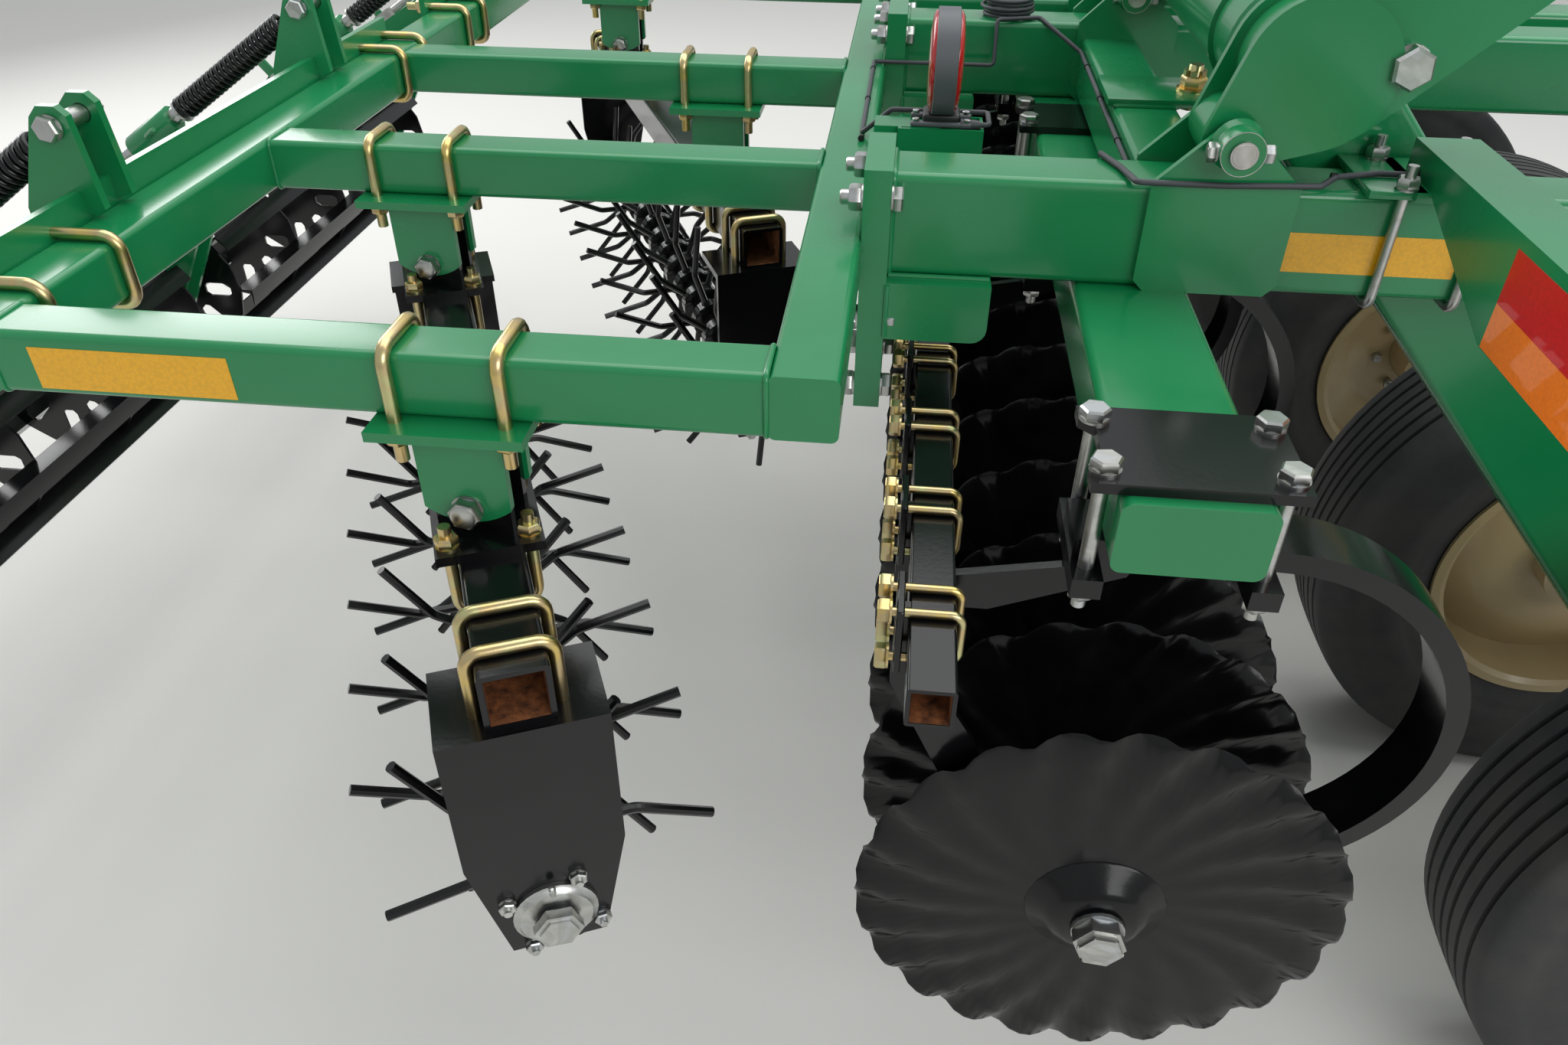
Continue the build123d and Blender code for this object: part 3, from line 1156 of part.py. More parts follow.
# Light brackets: a seat plate bolted on each outer main tube, with an angle that reaches outboard
# and whose rear web deepens to carry the reflective tape
panel_x = -1205.0
light_plate = 10.0
light_seat_length = 110.0
light_seat_width = 140.0
light_flange = 76.0
light_rise = 40.0
light_wall = 6.0
light_reach = 1715.0
light_web_foot = 1369.0
light_taper_start = 1050.0
light_taper_end = 1280.0
light_inset = 20.0
light_lean = 6.0
with BuildPart() as light_brackets:
    for way, main_y in ((-1, main_offsets[0]), (1, main_offsets[-1])):
        seat_top = main_top + light_plate
        light_top = seat_top + light_rise
        arm_start = abs(main_y) - light_inset
        with BuildSketch(Plane(origin=(panel_x, main_y + way * light_lean, main_top))) as seat_outline:
            Rectangle(light_seat_length, light_seat_width)
        extrude(seat_outline.sketch, amount=light_plate)
        with BuildSketch(Plane(origin=(panel_x, way * (arm_start + light_reach) / 2,
                                       light_top))) as top_outline:
            Rectangle(light_flange, light_reach - arm_start)
        extrude(top_outline.sketch, amount=-light_wall)
        flat_plate(facing_x(panel_x - (light_flange - light_wall) / 2),
                   [(way * arm_start, seat_top), (way * arm_start, light_top), (way * light_reach, light_top),
                    (way * light_reach, light_web_foot), (way * light_taper_end, light_web_foot),
                    (way * light_taper_start, seat_top)], light_wall)
light_brackets.part.label = "light_brackets"
export_step(light_brackets.part, "parts/light_brackets.step")
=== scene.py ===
# Vertical tillage tool, raised on its wheels and parked on its jack.
# Metres, in the CAD model's frame: +X forward, +Y left, +Z up, with the floor at Z = 0.
from math import atan2, cos, hypot, pi, radians, sin, sqrt

import bmesh
import bpy
from mathutils import Matrix, Vector


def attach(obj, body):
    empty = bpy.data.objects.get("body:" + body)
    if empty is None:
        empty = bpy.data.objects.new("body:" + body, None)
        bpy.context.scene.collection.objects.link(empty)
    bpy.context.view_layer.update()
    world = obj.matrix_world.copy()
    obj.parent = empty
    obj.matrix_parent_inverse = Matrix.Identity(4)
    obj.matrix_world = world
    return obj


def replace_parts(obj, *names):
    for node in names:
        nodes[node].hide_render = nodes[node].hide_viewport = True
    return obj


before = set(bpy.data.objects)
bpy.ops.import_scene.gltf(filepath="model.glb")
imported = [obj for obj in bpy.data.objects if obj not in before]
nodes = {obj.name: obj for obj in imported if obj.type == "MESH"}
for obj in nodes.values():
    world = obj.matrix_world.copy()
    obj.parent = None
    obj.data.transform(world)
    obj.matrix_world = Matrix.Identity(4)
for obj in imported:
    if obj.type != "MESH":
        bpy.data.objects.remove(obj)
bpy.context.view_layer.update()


# Camera: a wide lens held at chest height beside the right rear of the tool, looking down and
# forward across the ladder frame, as the photograph was taken.
def facing(x_way, y_way, z_way):
    """Turn that lays X, Y and Z along three directions square to each other."""
    return Matrix((x_way, y_way, z_way)).transposed().to_4x4()


camera_data = bpy.data.cameras.new("photo_camera")
camera_data.lens = 26.1
camera_data.sensor_width = 36.0
camera_data.clip_end = 200.0
camera = bpy.data.objects.new("photo_camera", camera_data)
camera_at = Vector((-1.875, -2.468, 1.932))
look = Vector((-0.0835, 0.8057, -0.5864)).normalized()
tilt = radians(0.46)
level_right = look.cross(Vector((0, 0, 1))).normalized()
level_up = level_right.cross(look)
right = level_right * cos(tilt) + level_up * sin(tilt)
up = level_up * cos(tilt) - level_right * sin(tilt)
camera.matrix_world = Matrix.Translation(camera_at) @ facing(right, up, -look)
bpy.context.scene.collection.objects.link(camera)
bpy.context.scene.camera = camera
bpy.context.scene.view_settings.view_transform = "Standard"


# Studio: a plain pale floor, and large soft lamps above and beside the machine. The paint's
# bright tops come from the lamp overhead.
def linear(value):
    """Linear colour from an sRGB hex value."""
    parts = [int(value[i:i + 2], 16) / 255 for i in (1, 3, 5)]
    return [p / 12.92 if p <= 0.04045 else ((p + 0.055) / 1.055) ** 2.4 for p in parts] + [1.0]


def add_node(material, kind, settings=None, links=None):
    """One shader node with its settings, and its inputs linked to other nodes' outputs."""
    node = material.node_tree.nodes.new(kind)
    for key, value in (settings or {}).items():
        if hasattr(node, key):
            setattr(node, key, value)
        else:
            node.inputs[key].default_value = value
    for key, (other, output) in (links or {}).items():
        material.node_tree.links.new(other.outputs[output], node.inputs[key])
    return node


floor_paint = bpy.data.materials.new("matt_floor_paint")
floor_paint.use_nodes = True
floor_shader = floor_paint.node_tree.nodes["Principled BSDF"]
floor_shader.inputs["Base Color"].default_value = linear("#d9d8d4")
floor_shader.inputs["Roughness"].default_value = 0.9
floor_shader.inputs["Specular IOR Level"].default_value = 0.2
floor_form = bmesh.new()
bmesh.ops.create_grid(floor_form, x_segments=1, y_segments=1, size=40.0)
floor_mesh = bpy.data.meshes.new("studio_floor")
floor_form.to_mesh(floor_mesh)
floor_form.free()
floor_mesh.materials.append(floor_paint)
studio_floor = bpy.data.objects.new("studio_floor", floor_mesh)
studio_floor.location.z = -0.0005
bpy.context.scene.collection.objects.link(studio_floor)

world = bpy.data.worlds.new("soft_room")
world.use_nodes = True
room = world.node_tree.nodes["Background"]
room.inputs["Color"].default_value = linear("#f1f4f6")
room.inputs["Strength"].default_value = 0.62
bpy.context.scene.world = world

# Columns: name, place, aim, width, height, watts
for name, place, aim, wide, high, watts in (
        ("sky_panel", (-0.8, 1.2, 6.2), (-0.8, 0.0, 0.0), 9.0, 6.0, 330),
        ("front_panel", (2.5, -6.0, 4.2), (0.0, 0.0, 0.8), 5.0, 3.0, 190),
        ("rear_panel", (-7.0, 3.5, 3.6), (-1.5, 0.0, 0.8), 4.0, 3.0, 150)):
    lamp_data = bpy.data.lights.new(name, "AREA")
    lamp_data.shape = "RECTANGLE"
    lamp_data.size = wide
    lamp_data.size_y = high
    lamp_data.energy = watts
    lamp = bpy.data.objects.new(name, lamp_data)
    lamp.location = place
    lamp.rotation_euler = (Vector(aim) - Vector(place)).to_track_quat("-Z", "Y").to_euler()
    bpy.context.scene.collection.objects.link(lamp)


# Green frame: mild steel tube and plate, shot blasted and sprayed with gloss enamel. The coat is
# glossy with a faint orange peel, and dust dulls it a little in places.
def surface(name):
    """A new material, its shader, and the piece's own coordinates for its patterns."""
    material = bpy.data.materials.new(name)
    material.use_nodes = True
    return material, material.node_tree.nodes["Principled BSDF"], add_node(material, "ShaderNodeTexCoord")


def noise(material, place, scale, **settings):
    """Noise in the piece's own coordinates."""
    return add_node(material, "ShaderNodeTexNoise", {"Scale": scale, **settings},
                    {"Vector": (place, "Object")})


def toned(material, shader, pattern, output, *stops):
    """The shader's colour from a pattern, over two or three (position, linear colour) stops."""
    ramp = add_node(material, "ShaderNodeValToRGB", {}, {"Fac": (pattern, output)})
    for element, (position, colour) in zip(ramp.color_ramp.elements, (stops[0], stops[-1])):
        element.position = position
        element.color = colour
    for position, colour in stops[1:-1]:
        ramp.color_ramp.elements.new(position).color = colour
    material.node_tree.links.new(ramp.outputs["Color"], shader.inputs["Base Color"])


def embossed(material, shader, pattern, strength, depth):
    """The shader's fine relief from a pattern."""
    bump = add_node(material, "ShaderNodeBump", {"Strength": strength, "Distance": depth},
                    {"Height": (pattern, "Fac")})
    material.node_tree.links.new(bump.outputs["Normal"], shader.inputs["Normal"])


def sprayed_enamel(name, colour, dusty, rough, peel, dust_scale=2.2, sheen=0.5):
    """Gloss enamel over steel: colour, its dusty shade, roughness, depth of orange peel, sheen."""
    material, shader, place = surface(name)
    dust = noise(material, place, dust_scale, Detail=6.0, Roughness=0.6)
    toned(material, shader, dust, "Fac", (0.38, linear(colour)), (0.72, linear(dusty)))
    gloss = add_node(material, "ShaderNodeMapRange", {"To Min": rough, "To Max": rough + 0.13},
                     {"Value": (dust, "Fac")})
    material.node_tree.links.new(gloss.outputs["Result"], shader.inputs["Roughness"])
    embossed(material, shader, noise(material, place, 170.0, Detail=2.0), peel, 0.0006)
    shader.inputs["Specular IOR Level"].default_value = sheen
    shader.inputs["Coat Weight"].default_value = 0.7 * sheen
    shader.inputs["Coat Roughness"].default_value = 0.12
    return material


def dress(names, material):
    """Gives CAD nodes a finish, welds their loose triangles and shades their curves smooth."""
    for name in names:
        node = nodes[name]
        node.data.materials.clear()
        node.data.materials.append(material)
        node.data.polygons.foreach_set("use_smooth", [True] * len(node.data.polygons))
        node.data.polygons.foreach_set("material_index", [0] * len(node.data.polygons))
        weld = node.modifiers.new("weld", "WELD")
        weld.merge_threshold = 0.00002
        split = node.modifiers.new("edges", "EDGE_SPLIT")
        split.split_angle = radians(32)


green_enamel = sprayed_enamel("green_gloss_enamel", "#0f7a45", "#1a8450", 0.2, 0.09)
dress(["ladder_bars", "ladder_rails", "ladder_flanges", "main_flanges", "main_tubes", "cross_tubes",
       "gang_beams", "reel_brackets", "basket_lugs", "basket_arms", "basket_carriers",
       "basket_standards", "pivot_brackets", "rockshaft", "rockshaft_hubs", "lift_cranks",
       "wheel_arms", "cylinder_anchors", "tongue_ears", "tongue_tube", "tongue_braces",
       "level_turnbuckle", "jack_body", "lamp_posts", "light_brackets"], green_enamel)


# Black tools: shanks, gang tubes, baskets and clamps are mild steel in black gloss enamel, dipped
# rather than sprayed, so it is thicker and shows soft runs.
black_enamel = sprayed_enamel("black_gloss_enamel", "#08080a", "#121214", 0.13, 0.16, 4.0, 0.3)
dress(["coulter_shanks", "shank_clamps", "scraper_bars", "spike_gang_tubes", "reel_yokes",
       "reel_standards", "right_basket", "left_basket", "cylinder_barrel_right",
       "cylinder_barrel_left", "hitch_clevis"], black_enamel)


# Plated steel: bolts and U-bolts are zinc plated. Yellow passivation gives a brassy film whose
# hue wanders from gold to olive, and clear passivation stays silver. The lift rods are chromed.
def plated_steel(name, tones, rough):
    """Zinc plate over steel, its film wandering between a few tones."""
    material, shader, place = surface(name)
    film = noise(material, place, 26.0, Detail=3.0, Distortion=0.6)
    toned(material, shader, film, "Fac", *zip((0.34, 0.5, 0.68), map(linear, tones)))
    embossed(material, shader, noise(material, place, 420.0), 0.15, 0.0004)
    shader.inputs["Metallic"].default_value = 1.0
    shader.inputs["Roughness"].default_value = rough
    return material


yellow_zinc = plated_steel("yellow_passivated_zinc", ("#d9c078", "#cbb58a", "#c7c790"), 0.3)
clear_zinc = plated_steel("clear_passivated_zinc", ("#c3c6c8", "#b4b4b0", "#cfd0cc"), 0.32)
dress(["hinge_pins", "axle_spindles", "jack_leg"], clear_zinc)
hard_chrome = plated_steel("hard_chrome", ("#d8dadc", "#cfd2d4", "#dfe1e2"), 0.08)
dress(["cylinder_rod_right", "cylinder_rod_left"], hard_chrome)


def finished(name, form, material, body, smooth=40.0):
    """An object from a bmesh: normals out, flats sharp, its finish on, and riding on a body."""
    bmesh.ops.remove_doubles(form, verts=form.verts, dist=0.00001)
    bmesh.ops.recalc_face_normals(form, faces=form.faces)
    mesh = bpy.data.meshes.new(name)
    form.to_mesh(mesh)
    form.free()
    mesh.materials.append(material)
    mesh.polygons.foreach_set("use_smooth", [True] * len(mesh.polygons))
    piece = bpy.data.objects.new(name, mesh)
    bpy.context.scene.collection.objects.link(piece)
    split = piece.modifiers.new("edges", "EDGE_SPLIT")
    split.split_angle = radians(smooth)
    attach(piece, body)
    return piece


def pointing(place, axis, twist=0.0):
    """Matrix that puts a shape made along +Z at a place, along an axis."""
    return (Matrix.Translation(Vector(place)) @ Vector(axis).to_track_quat("Z", "Y").to_matrix().to_4x4()
            @ Matrix.Rotation(twist, 4, "Z"))


def edges_of(verts):
    """The edges that meet at some vertices."""
    return list({e for v in verts for e in v.link_edges})


def only(kind, geometry):
    """The vertices or the edges among mixed geometry."""
    return [g for g in geometry if isinstance(g, kind)]


def grown_ring(form, ring):
    """The next ring of a tube, grown from the last: its vertices and edges."""
    grown = bmesh.ops.extrude_edge_only(form, edges=ring)["geom"]
    verts = only(bmesh.types.BMVert, grown)
    return verts, [e for e in only(bmesh.types.BMEdge, grown) if all(v in verts for v in e.verts)]


def turned_bar(form, place, axis, steps, sides=16, twist=0.0):
    """Lathe-turned shape along an axis from (distance, radius) steps, closed at both ends."""
    matrix = pointing(place, axis, twist)
    first = bmesh.ops.create_circle(form, segments=sides, radius=steps[0][1], cap_ends=False,
                                    matrix=matrix @ Matrix.Translation((0, 0, steps[0][0])))
    ring = edges_of(first["verts"])
    ends = [list(ring)]
    for (distance, radius), (old_distance, old_radius) in zip(steps[1:], steps[:-1]):
        verts, ring = grown_ring(form, ring)
        scale = radius / old_radius
        bmesh.ops.transform(form, verts=verts, space=Matrix.Identity(4),
                            matrix=matrix @ Matrix.Translation((0, 0, distance))
                            @ Matrix.Diagonal((scale, scale, 1, 1))
                            @ Matrix.Translation((0, 0, -old_distance)) @ matrix.inverted())
    ends.append(ring)
    for loop in ends:
        bmesh.ops.contextual_create(form, geom=loop)


def round_bar(form, place, axis, radius, length, sides=16):
    """Plain round bar from a place along an axis."""
    turned_bar(form, place, axis, [(0.0, radius), (length, radius)], sides)


def hex_head(form, place, axis, across, height, twist=0.0, washer=True):
    """Hexagon bolt head or nut on its washer, chamfered as forged, seated at a place."""
    low = 0.0025 if washer else 0.0
    if washer:
        round_bar(form, place, axis, across * 0.56, low, 18)
    flat = across / sqrt(3)
    turned_bar(form, place, axis, [(low, flat * 0.94), (low + height * 0.1, flat),
                                   (low + height * 0.82, flat), (low + height, flat * 0.86)],
               6, twist)


def bent_rod(form, place, direction, radius, moves, sides=10):
    """Round rod from a place along moves: ("go", length) or ("turn", axis, degrees, bend radius)."""
    place = Vector(place)
    direction = Vector(direction).normalized()
    first = bmesh.ops.create_circle(form, segments=sides, radius=radius, cap_ends=False,
                                    matrix=pointing(place, direction))
    ring = edges_of(first["verts"])
    bmesh.ops.contextual_create(form, geom=ring)
    for move in moves:
        if move[0] == "go":
            verts, ring = grown_ring(form, ring)
            bmesh.ops.translate(form, verts=verts, vec=direction * move[1])
            place = place + direction * move[1]
            continue
        axis = Vector(move[1]).normalized()
        centre = place + axis.cross(direction) * move[3]
        angle = radians(move[2])
        swept = bmesh.ops.spin(form, geom=ring, cent=centre, axis=axis, angle=angle,
                               steps=max(2, int(abs(move[2]) / 15)), dvec=(0, 0, 0))
        ring = only(bmesh.types.BMEdge, swept["geom_last"])
        spun = Matrix.Rotation(angle, 3, axis)
        place = centre + spun @ (place - centre)
        direction = spun @ direction
    bmesh.ops.contextual_create(form, geom=ring)


# Ladder U-bolts: 16 mm rod bent square round the rails, yellow zinc plated, drawn down through
# each hanger plate by a nut on each leg. The rear bar's pairs hold the basket clamp strips.
def u_bolt(form, middle, legs, across, half, leg, radius, bend, nut):
    """Square U-bolt: middle of its tips, the ways its legs and its back run, half its width, length
    of a leg, radius of the rod and of its bends, and how far from the tips its nuts sit."""
    middle = Vector(middle)
    legs = Vector(legs).normalized()
    across = Vector(across).normalized()
    axis = legs.cross(across)
    bent_rod(form, middle - across * half, legs, radius,
             [("go", leg - bend), ("turn", axis, 90, bend), ("go", 2 * half - 2 * bend),
              ("turn", axis, 90, bend), ("go", leg - bend)])
    for way in (-1, 1):
        hex_head(form, middle + across * half * way + legs * nut, -legs, 0.0245, 0.013, 0.3 * way)


rail_half = 0.0381
rail_middle = 1.3319
rod_radius = 0.008
tip_z = 1.244
# Columns: hanger X, rail Y
hangers = ((-2.345, -1.4059), (-2.6362, -0.744), (-2.244, -0.19), (-2.655, 0.744))
rail_bolts = bmesh.new()
for hanger_x, rail_y in hangers:
    for way in (-1, 1):
        u_bolt(rail_bolts, (hanger_x + way * 0.062, rail_y, tip_z), (0, 0, 1), (0, 1, 0), rail_half + 0.0085,
               rail_middle + rail_half + rod_radius - tip_z, rod_radius, 0.02, 0.0378)
finished("rail_u_bolts", rail_bolts, yellow_zinc, "frame")

strip_back = -2.9531
stick_out = 0.036
bar_bolts = bmesh.new()
for bolt_y in (-1.342, -1.193, -0.24, -0.132, 0.132, 0.24, 1.193, 1.342):
    u_bolt(bar_bolts, (strip_back - stick_out, bolt_y, rail_middle), (1, 0, 0), (0, 0, 1),
           rail_half + 0.0085, stick_out + 0.0882 + rod_radius, rod_radius, 0.02, stick_out)
finished("rear_bar_u_bolts", bar_bolts, yellow_zinc, "frame")


# Weld beads: the frame's joints are hand welded all round and painted over, so each bead is a
# low ripple in the frame's own green.
def weld_ring(form, corner, first, second, width, height, bead, round_corner=0.01):
    """Bead round a rectangular tube, from a corner along two directions square to each other."""
    first, second = Vector(first), Vector(second)
    start = Vector(corner) + first * round_corner
    axis = first.cross(second)
    moves = []
    for length in (width, height, width, height):
        moves += [("go", length - 2 * round_corner), ("turn", axis, 90, round_corner)]
    bent_rod(form, start, first, bead, moves, 8)


ladder_welds = bmesh.new()
for rail_y in (-1.4059, -0.744, -0.19, 0.744, 1.4059):
    for weld_x in (-2.8637, -2.0013):
        weld_ring(ladder_welds, (weld_x, rail_y - rail_half, rail_middle - rail_half), (0, 1, 0),
                  (0, 0, 1), 2 * rail_half, 2 * rail_half, 0.0035)
main_ys = (-0.983, -0.105, 0.105, 0.983)
flange_x = -1.8867
for main_y in main_ys:
    weld_ring(ladder_welds, (flange_x, main_y - 0.051, 1.309), (0, 1, 0), (0, 0, 1), 0.102, 0.137,
              0.005, 0.012)
    for way in (1, -1):
        bent_rod(ladder_welds, (flange_x, main_y + way * 0.0075, 1.22), (0, 0, 1), 0.004, [("go", 0.088)], 8)
finished("frame_welds", ladder_welds, green_enamel, "frame", 70)


# Saddles: a bent channel under the rear end of each main tube stiffens its flange, welded to both
# and painted with them, its front lower corners rounded.
def block(form, middle, size, turn=Matrix.Identity(4), bevel=0.0, segments=3):
    """Box about its middle, turned if need be, its edges broken by a bevel; gives its vertices."""
    verts = bmesh.ops.create_cube(form, size=1.0, matrix=Matrix.Translation(middle) @ turn
                                  @ Matrix.Diagonal((*size, 1)))["verts"]
    if bevel:
        bmesh.ops.bevel(form, geom=edges_of(verts), offset=bevel, segments=segments, profile=0.5,
                        affect="EDGES", material=-1)
    return verts


def cut_plate(form, corners, through):
    """Flat plate from the corners of its outer face, grown through its thickness."""
    face = form.faces.new([form.verts.new(corner) for corner in corners])
    grown = bmesh.ops.extrude_face_region(form, geom=[face])["geom"]
    bmesh.ops.translate(form, verts=only(bmesh.types.BMVert, grown), vec=through)


saddles = bmesh.new()
saddle_outline = ((-1.8877, 1.3088), (-1.75, 1.3088), (-1.75, 1.248), (-1.7515, 1.2405), (-1.756, 1.234),
                  (-1.7625, 1.2295), (-1.77, 1.228), (-1.8877, 1.228))
for main_y in main_ys:
    for way in (-1, 1):
        cut_plate(saddles, [(x, main_y + way * 0.078, z) for x, z in saddle_outline], (0, -way * 0.01, 0))
    block(saddles, (-1.81885, main_y, 1.3038), (0.1377, 0.1361, 0.0099))
    for way in (-1, 1):
        bent_rod(saddles, (flange_x, main_y + way * 0.0775, 1.232), (0, 0, 1), 0.004, [("go", 0.074)], 8)
        bent_rod(saddles, (-1.886, main_y + way * 0.0515, 1.3094), (1, 0, 0), 0.0038, [("go", 0.134)], 8)
finished("flange_saddles", saddles, green_enamel, "frame", 35)


# Flange bolts: 20 mm hexagon bolts through both flange plates of each main tube, clear zinc
# plated, with a nut and a run of thread showing on the ladder's side.
flange_bolts = bmesh.new()
for main_y in main_ys:
    for way in (-1, 1):
        for bolt_z in (1.418, 1.252, 1.15):
            at_y = main_y + way * 0.0635
            hex_head(flange_bolts, (-1.8878, at_y, bolt_z), (1, 0, 0), 0.03, 0.0125, 0.2)
            hex_head(flange_bolts, (-1.9238, at_y, bolt_z), (-1, 0, 0), 0.03, 0.016, 0.5)
            turned_bar(flange_bolts, (-1.9398, at_y, bolt_z), (-1, 0, 0),
                       [(0.0, 0.0098), (0.012, 0.0098), (0.014, 0.008)])
finished("flange_bolts", flange_bolts, clear_zinc, "frame")


# Coulter gangs: wavy blades pressed from 6 mm boron steel, each between two dished washers, are
# threaded with cast spools on a square bolt with a castle nut at each end. The blades, washers and
# spools are in black enamel, and the nuts and their cotter wires are clear zinc plated.
def wavy_blade(form, x, y, z, radius, flutes, swing):
    """Round blade whose outer band is pressed into slanting flutes, closed at its edge."""
    spine = [(0.036, 0.003), (0.1, 0.003), (0.16, 0.003), (0.21, 0.003), (0.262, 0.003),
             (radius - 0.006, 0.0026), (radius, 0.0)]
    points = [form.verts.new((x + r, y + half, z)) for r, half in spine]
    points += [form.verts.new((x + r, y - half, z)) for r, half in reversed(spine[:-1])]
    edges = [form.edges.new(pair) for pair in zip(points[:-1], points[1:])]
    made = bmesh.ops.spin(form, geom=points + edges, cent=(x, y, z), axis=(0, 1, 0), angle=2 * pi,
                          steps=flutes * 6, dvec=(0, 0, 0), use_merge=True)
    own = set(only(bmesh.types.BMVert, made["geom_last"]))
    pending = list(own)
    while pending:
        for edge in pending.pop().link_edges:
            for vert in edge.verts:
                if vert not in own:
                    own.add(vert)
                    pending.append(vert)
    for vert in own:
        dx = vert.co.x - x
        dz = vert.co.z - z
        out = hypot(dx, dz)
        past_flat = out - 0.15
        reach = min(1.0, max(0.0, past_flat / 0.13))
        angle = atan2(dz, dx) + past_flat * 1.6
        vert.co.y += swing * reach * sin(flutes * angle)
        if out > 0.2:
            trim = 1 - 0.006 * (1 - cos(2 * flutes * angle)) * (out / radius) ** 4
            vert.co.x = x + dx * trim
            vert.co.z = z + dz * trim


blade_enamel = sprayed_enamel("blade_black_enamel", "#060608", "#111112", 0.16, 0.2, 9.0, 0.22)
rear_gang_x = -1.572
front_gang_x = 1.3
gang_z = 0.7
pitch = 0.1905
beyond = 0.036
rear_first = -1.549
front_first = rear_first + pitch / 2
# Columns: node, gang X, first blade Y, blades
gangs = (("rear_right_gang", rear_gang_x, rear_first, 9),
         ("rear_left_gang", rear_gang_x, rear_first + 9 * pitch, 8),
         ("front_right_gang", front_gang_x, front_first, 8),
         ("front_left_gang", front_gang_x, front_first + 8 * pitch, 8))
for node, gang_x, first_y, count in gangs:
    gang = bmesh.new()
    last_y = first_y + (count - 1) * pitch
    for index in range(count):
        blade_y = first_y + index * pitch
        wavy_blade(gang, gang_x, blade_y, gang_z, radius=0.3045, flutes=22, swing=0.0085)
        for way in (-1, 1):
            turned_bar(gang, (gang_x, blade_y + way * 0.0032, gang_z), (0, way, 0),
                       [(0.0, 0.088), (0.003, 0.086), (0.012, 0.066), (0.022, 0.06), (0.026, 0.05),
                        (0.028, 0.046)], 28)
    round_bar(gang, (gang_x, first_y - beyond, gang_z), (0, 1, 0), 0.034,
              last_y - first_y + 2 * beyond, 20)
    for index in range(count - 1):
        turned_bar(gang, (gang_x, first_y + (index + 0.5) * pitch, gang_z), (0, 1, 0),
                   [(-0.062, 0.0365), (-0.05, 0.0365), (0.05, 0.0365), (0.062, 0.0365)], 20)
    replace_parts(finished(node + "_blades", gang, blade_enamel, node, 38), node)
    nuts = bmesh.new()
    for end_y, way in ((first_y - beyond, -1), (last_y + beyond, 1)):
        round_bar(nuts, (gang_x, end_y, gang_z), (0, way, 0), 0.033, 0.004, 20)
        turned_bar(nuts, (gang_x, end_y + way * 0.004, gang_z), (0, way, 0),
                   [(0.0, 0.031), (0.003, 0.0335), (0.02, 0.0335), (0.021, 0.028), (0.029, 0.028)],
                   6, 0.4)
        turned_bar(nuts, (gang_x, end_y + way * 0.026, gang_z), (0, way, 0),
                   [(0.0, 0.0185), (0.007, 0.0185), (0.0078, 0.016)], 20)
        # Cotter wires across the nut's slots
        for slot_index in range(3):
            lean = slot_index * pi / 3 + 0.4 + pi / 6
            through = Vector((cos(lean), 0, sin(lean)))
            bent_rod(nuts, Vector((gang_x, end_y + way * 0.0305, gang_z)) - 0.0285 * through, through,
                     0.0022, [("go", 0.057)], 6)
    finished(node + "_nuts", nuts, clear_zinc, node)


# Shank clamps: four long 5/8 inch hexagon bolts a shank run from the notched plate on the beam to
# the bars under the shank, clear of the beam's sides.
clamp_bolts = bmesh.new()
# Columns: gang X, first blade Y, gaps between blades that have a shank
for gang_x, first_y, gaps in ((rear_gang_x, rear_first, (0, 4, 6, 9, 12, 15)),
                              (front_gang_x, front_first, (0, 3, 5, 9, 11, 14))):
    for gap in gaps:
        shank_y = first_y + (gap + 0.5) * pitch
        for way_x in (-1, 1):
            for way_y in (-1, 1):
                x = gang_x + 0.004 + way_x * 0.09
                y = shank_y + way_y * 0.049
                hex_head(clamp_bolts, (x, y, 1.321), (0, 0, 1), 0.029, 0.0125, 0.4 * way_y)
                round_bar(clamp_bolts, (x, y, 1.309), (0, 0, -1), 0.0085, 0.108)
                hex_head(clamp_bolts, (x, y, 1.177), (0, 0, -1), 0.0245, 0.014, 0.2)
                turned_bar(clamp_bolts, (x, y, 1.163), (0, 0, -1),
                           [(0.0, 0.0078), (0.014, 0.0078), (0.016, 0.006)])
finished("clamp_bolts", clamp_bolts, clear_zinc, "frame")


# Scraper bars: each scraper hangs from a clamp plate behind the square bar, held by a pair of
# small yellow zinc U-bolts round the bar.
bar_behind = 0.24
bar_z = 1.122
scraper_bolts = bmesh.new()
scraper_plates = bmesh.new()
for gang_x, first_y, count in ((rear_gang_x, rear_first, 17), (front_gang_x, front_first, 16)):
    bar_x = gang_x - bar_behind
    for index in range(count):
        at_y = first_y + index * pitch + 0.026
        for way in (-1, 1):
            u_bolt(scraper_bolts, (bar_x - 0.058, at_y + way * 0.021, bar_z), (1, 0, 0), (0, 0, 1),
                   0.0315, 0.089, 0.005, 0.012, 0.0145)
        block(scraper_plates, (bar_x - 0.0345, at_y, bar_z), (0.0085, 0.072, 0.086), bevel=0.0015, segments=1)
finished("scraper_u_bolts", scraper_bolts, yellow_zinc, "frame")
finished("scraper_clamp_plates", scraper_plates, black_enamel, "frame")


# Spike gangs: two square tubes hung at a slant under the ladder. Each hangs in ears under the
# hanger plates, gripped by U-bolts through a stud plate, all black but for the plated bolts.
along = Vector((-0.40274, 0.91531, 0))
across = Vector((0.91531, 0.40274, 0))
upward = Vector((0, 0, 1))
tube_z = 1.098
reel_z = 0.759
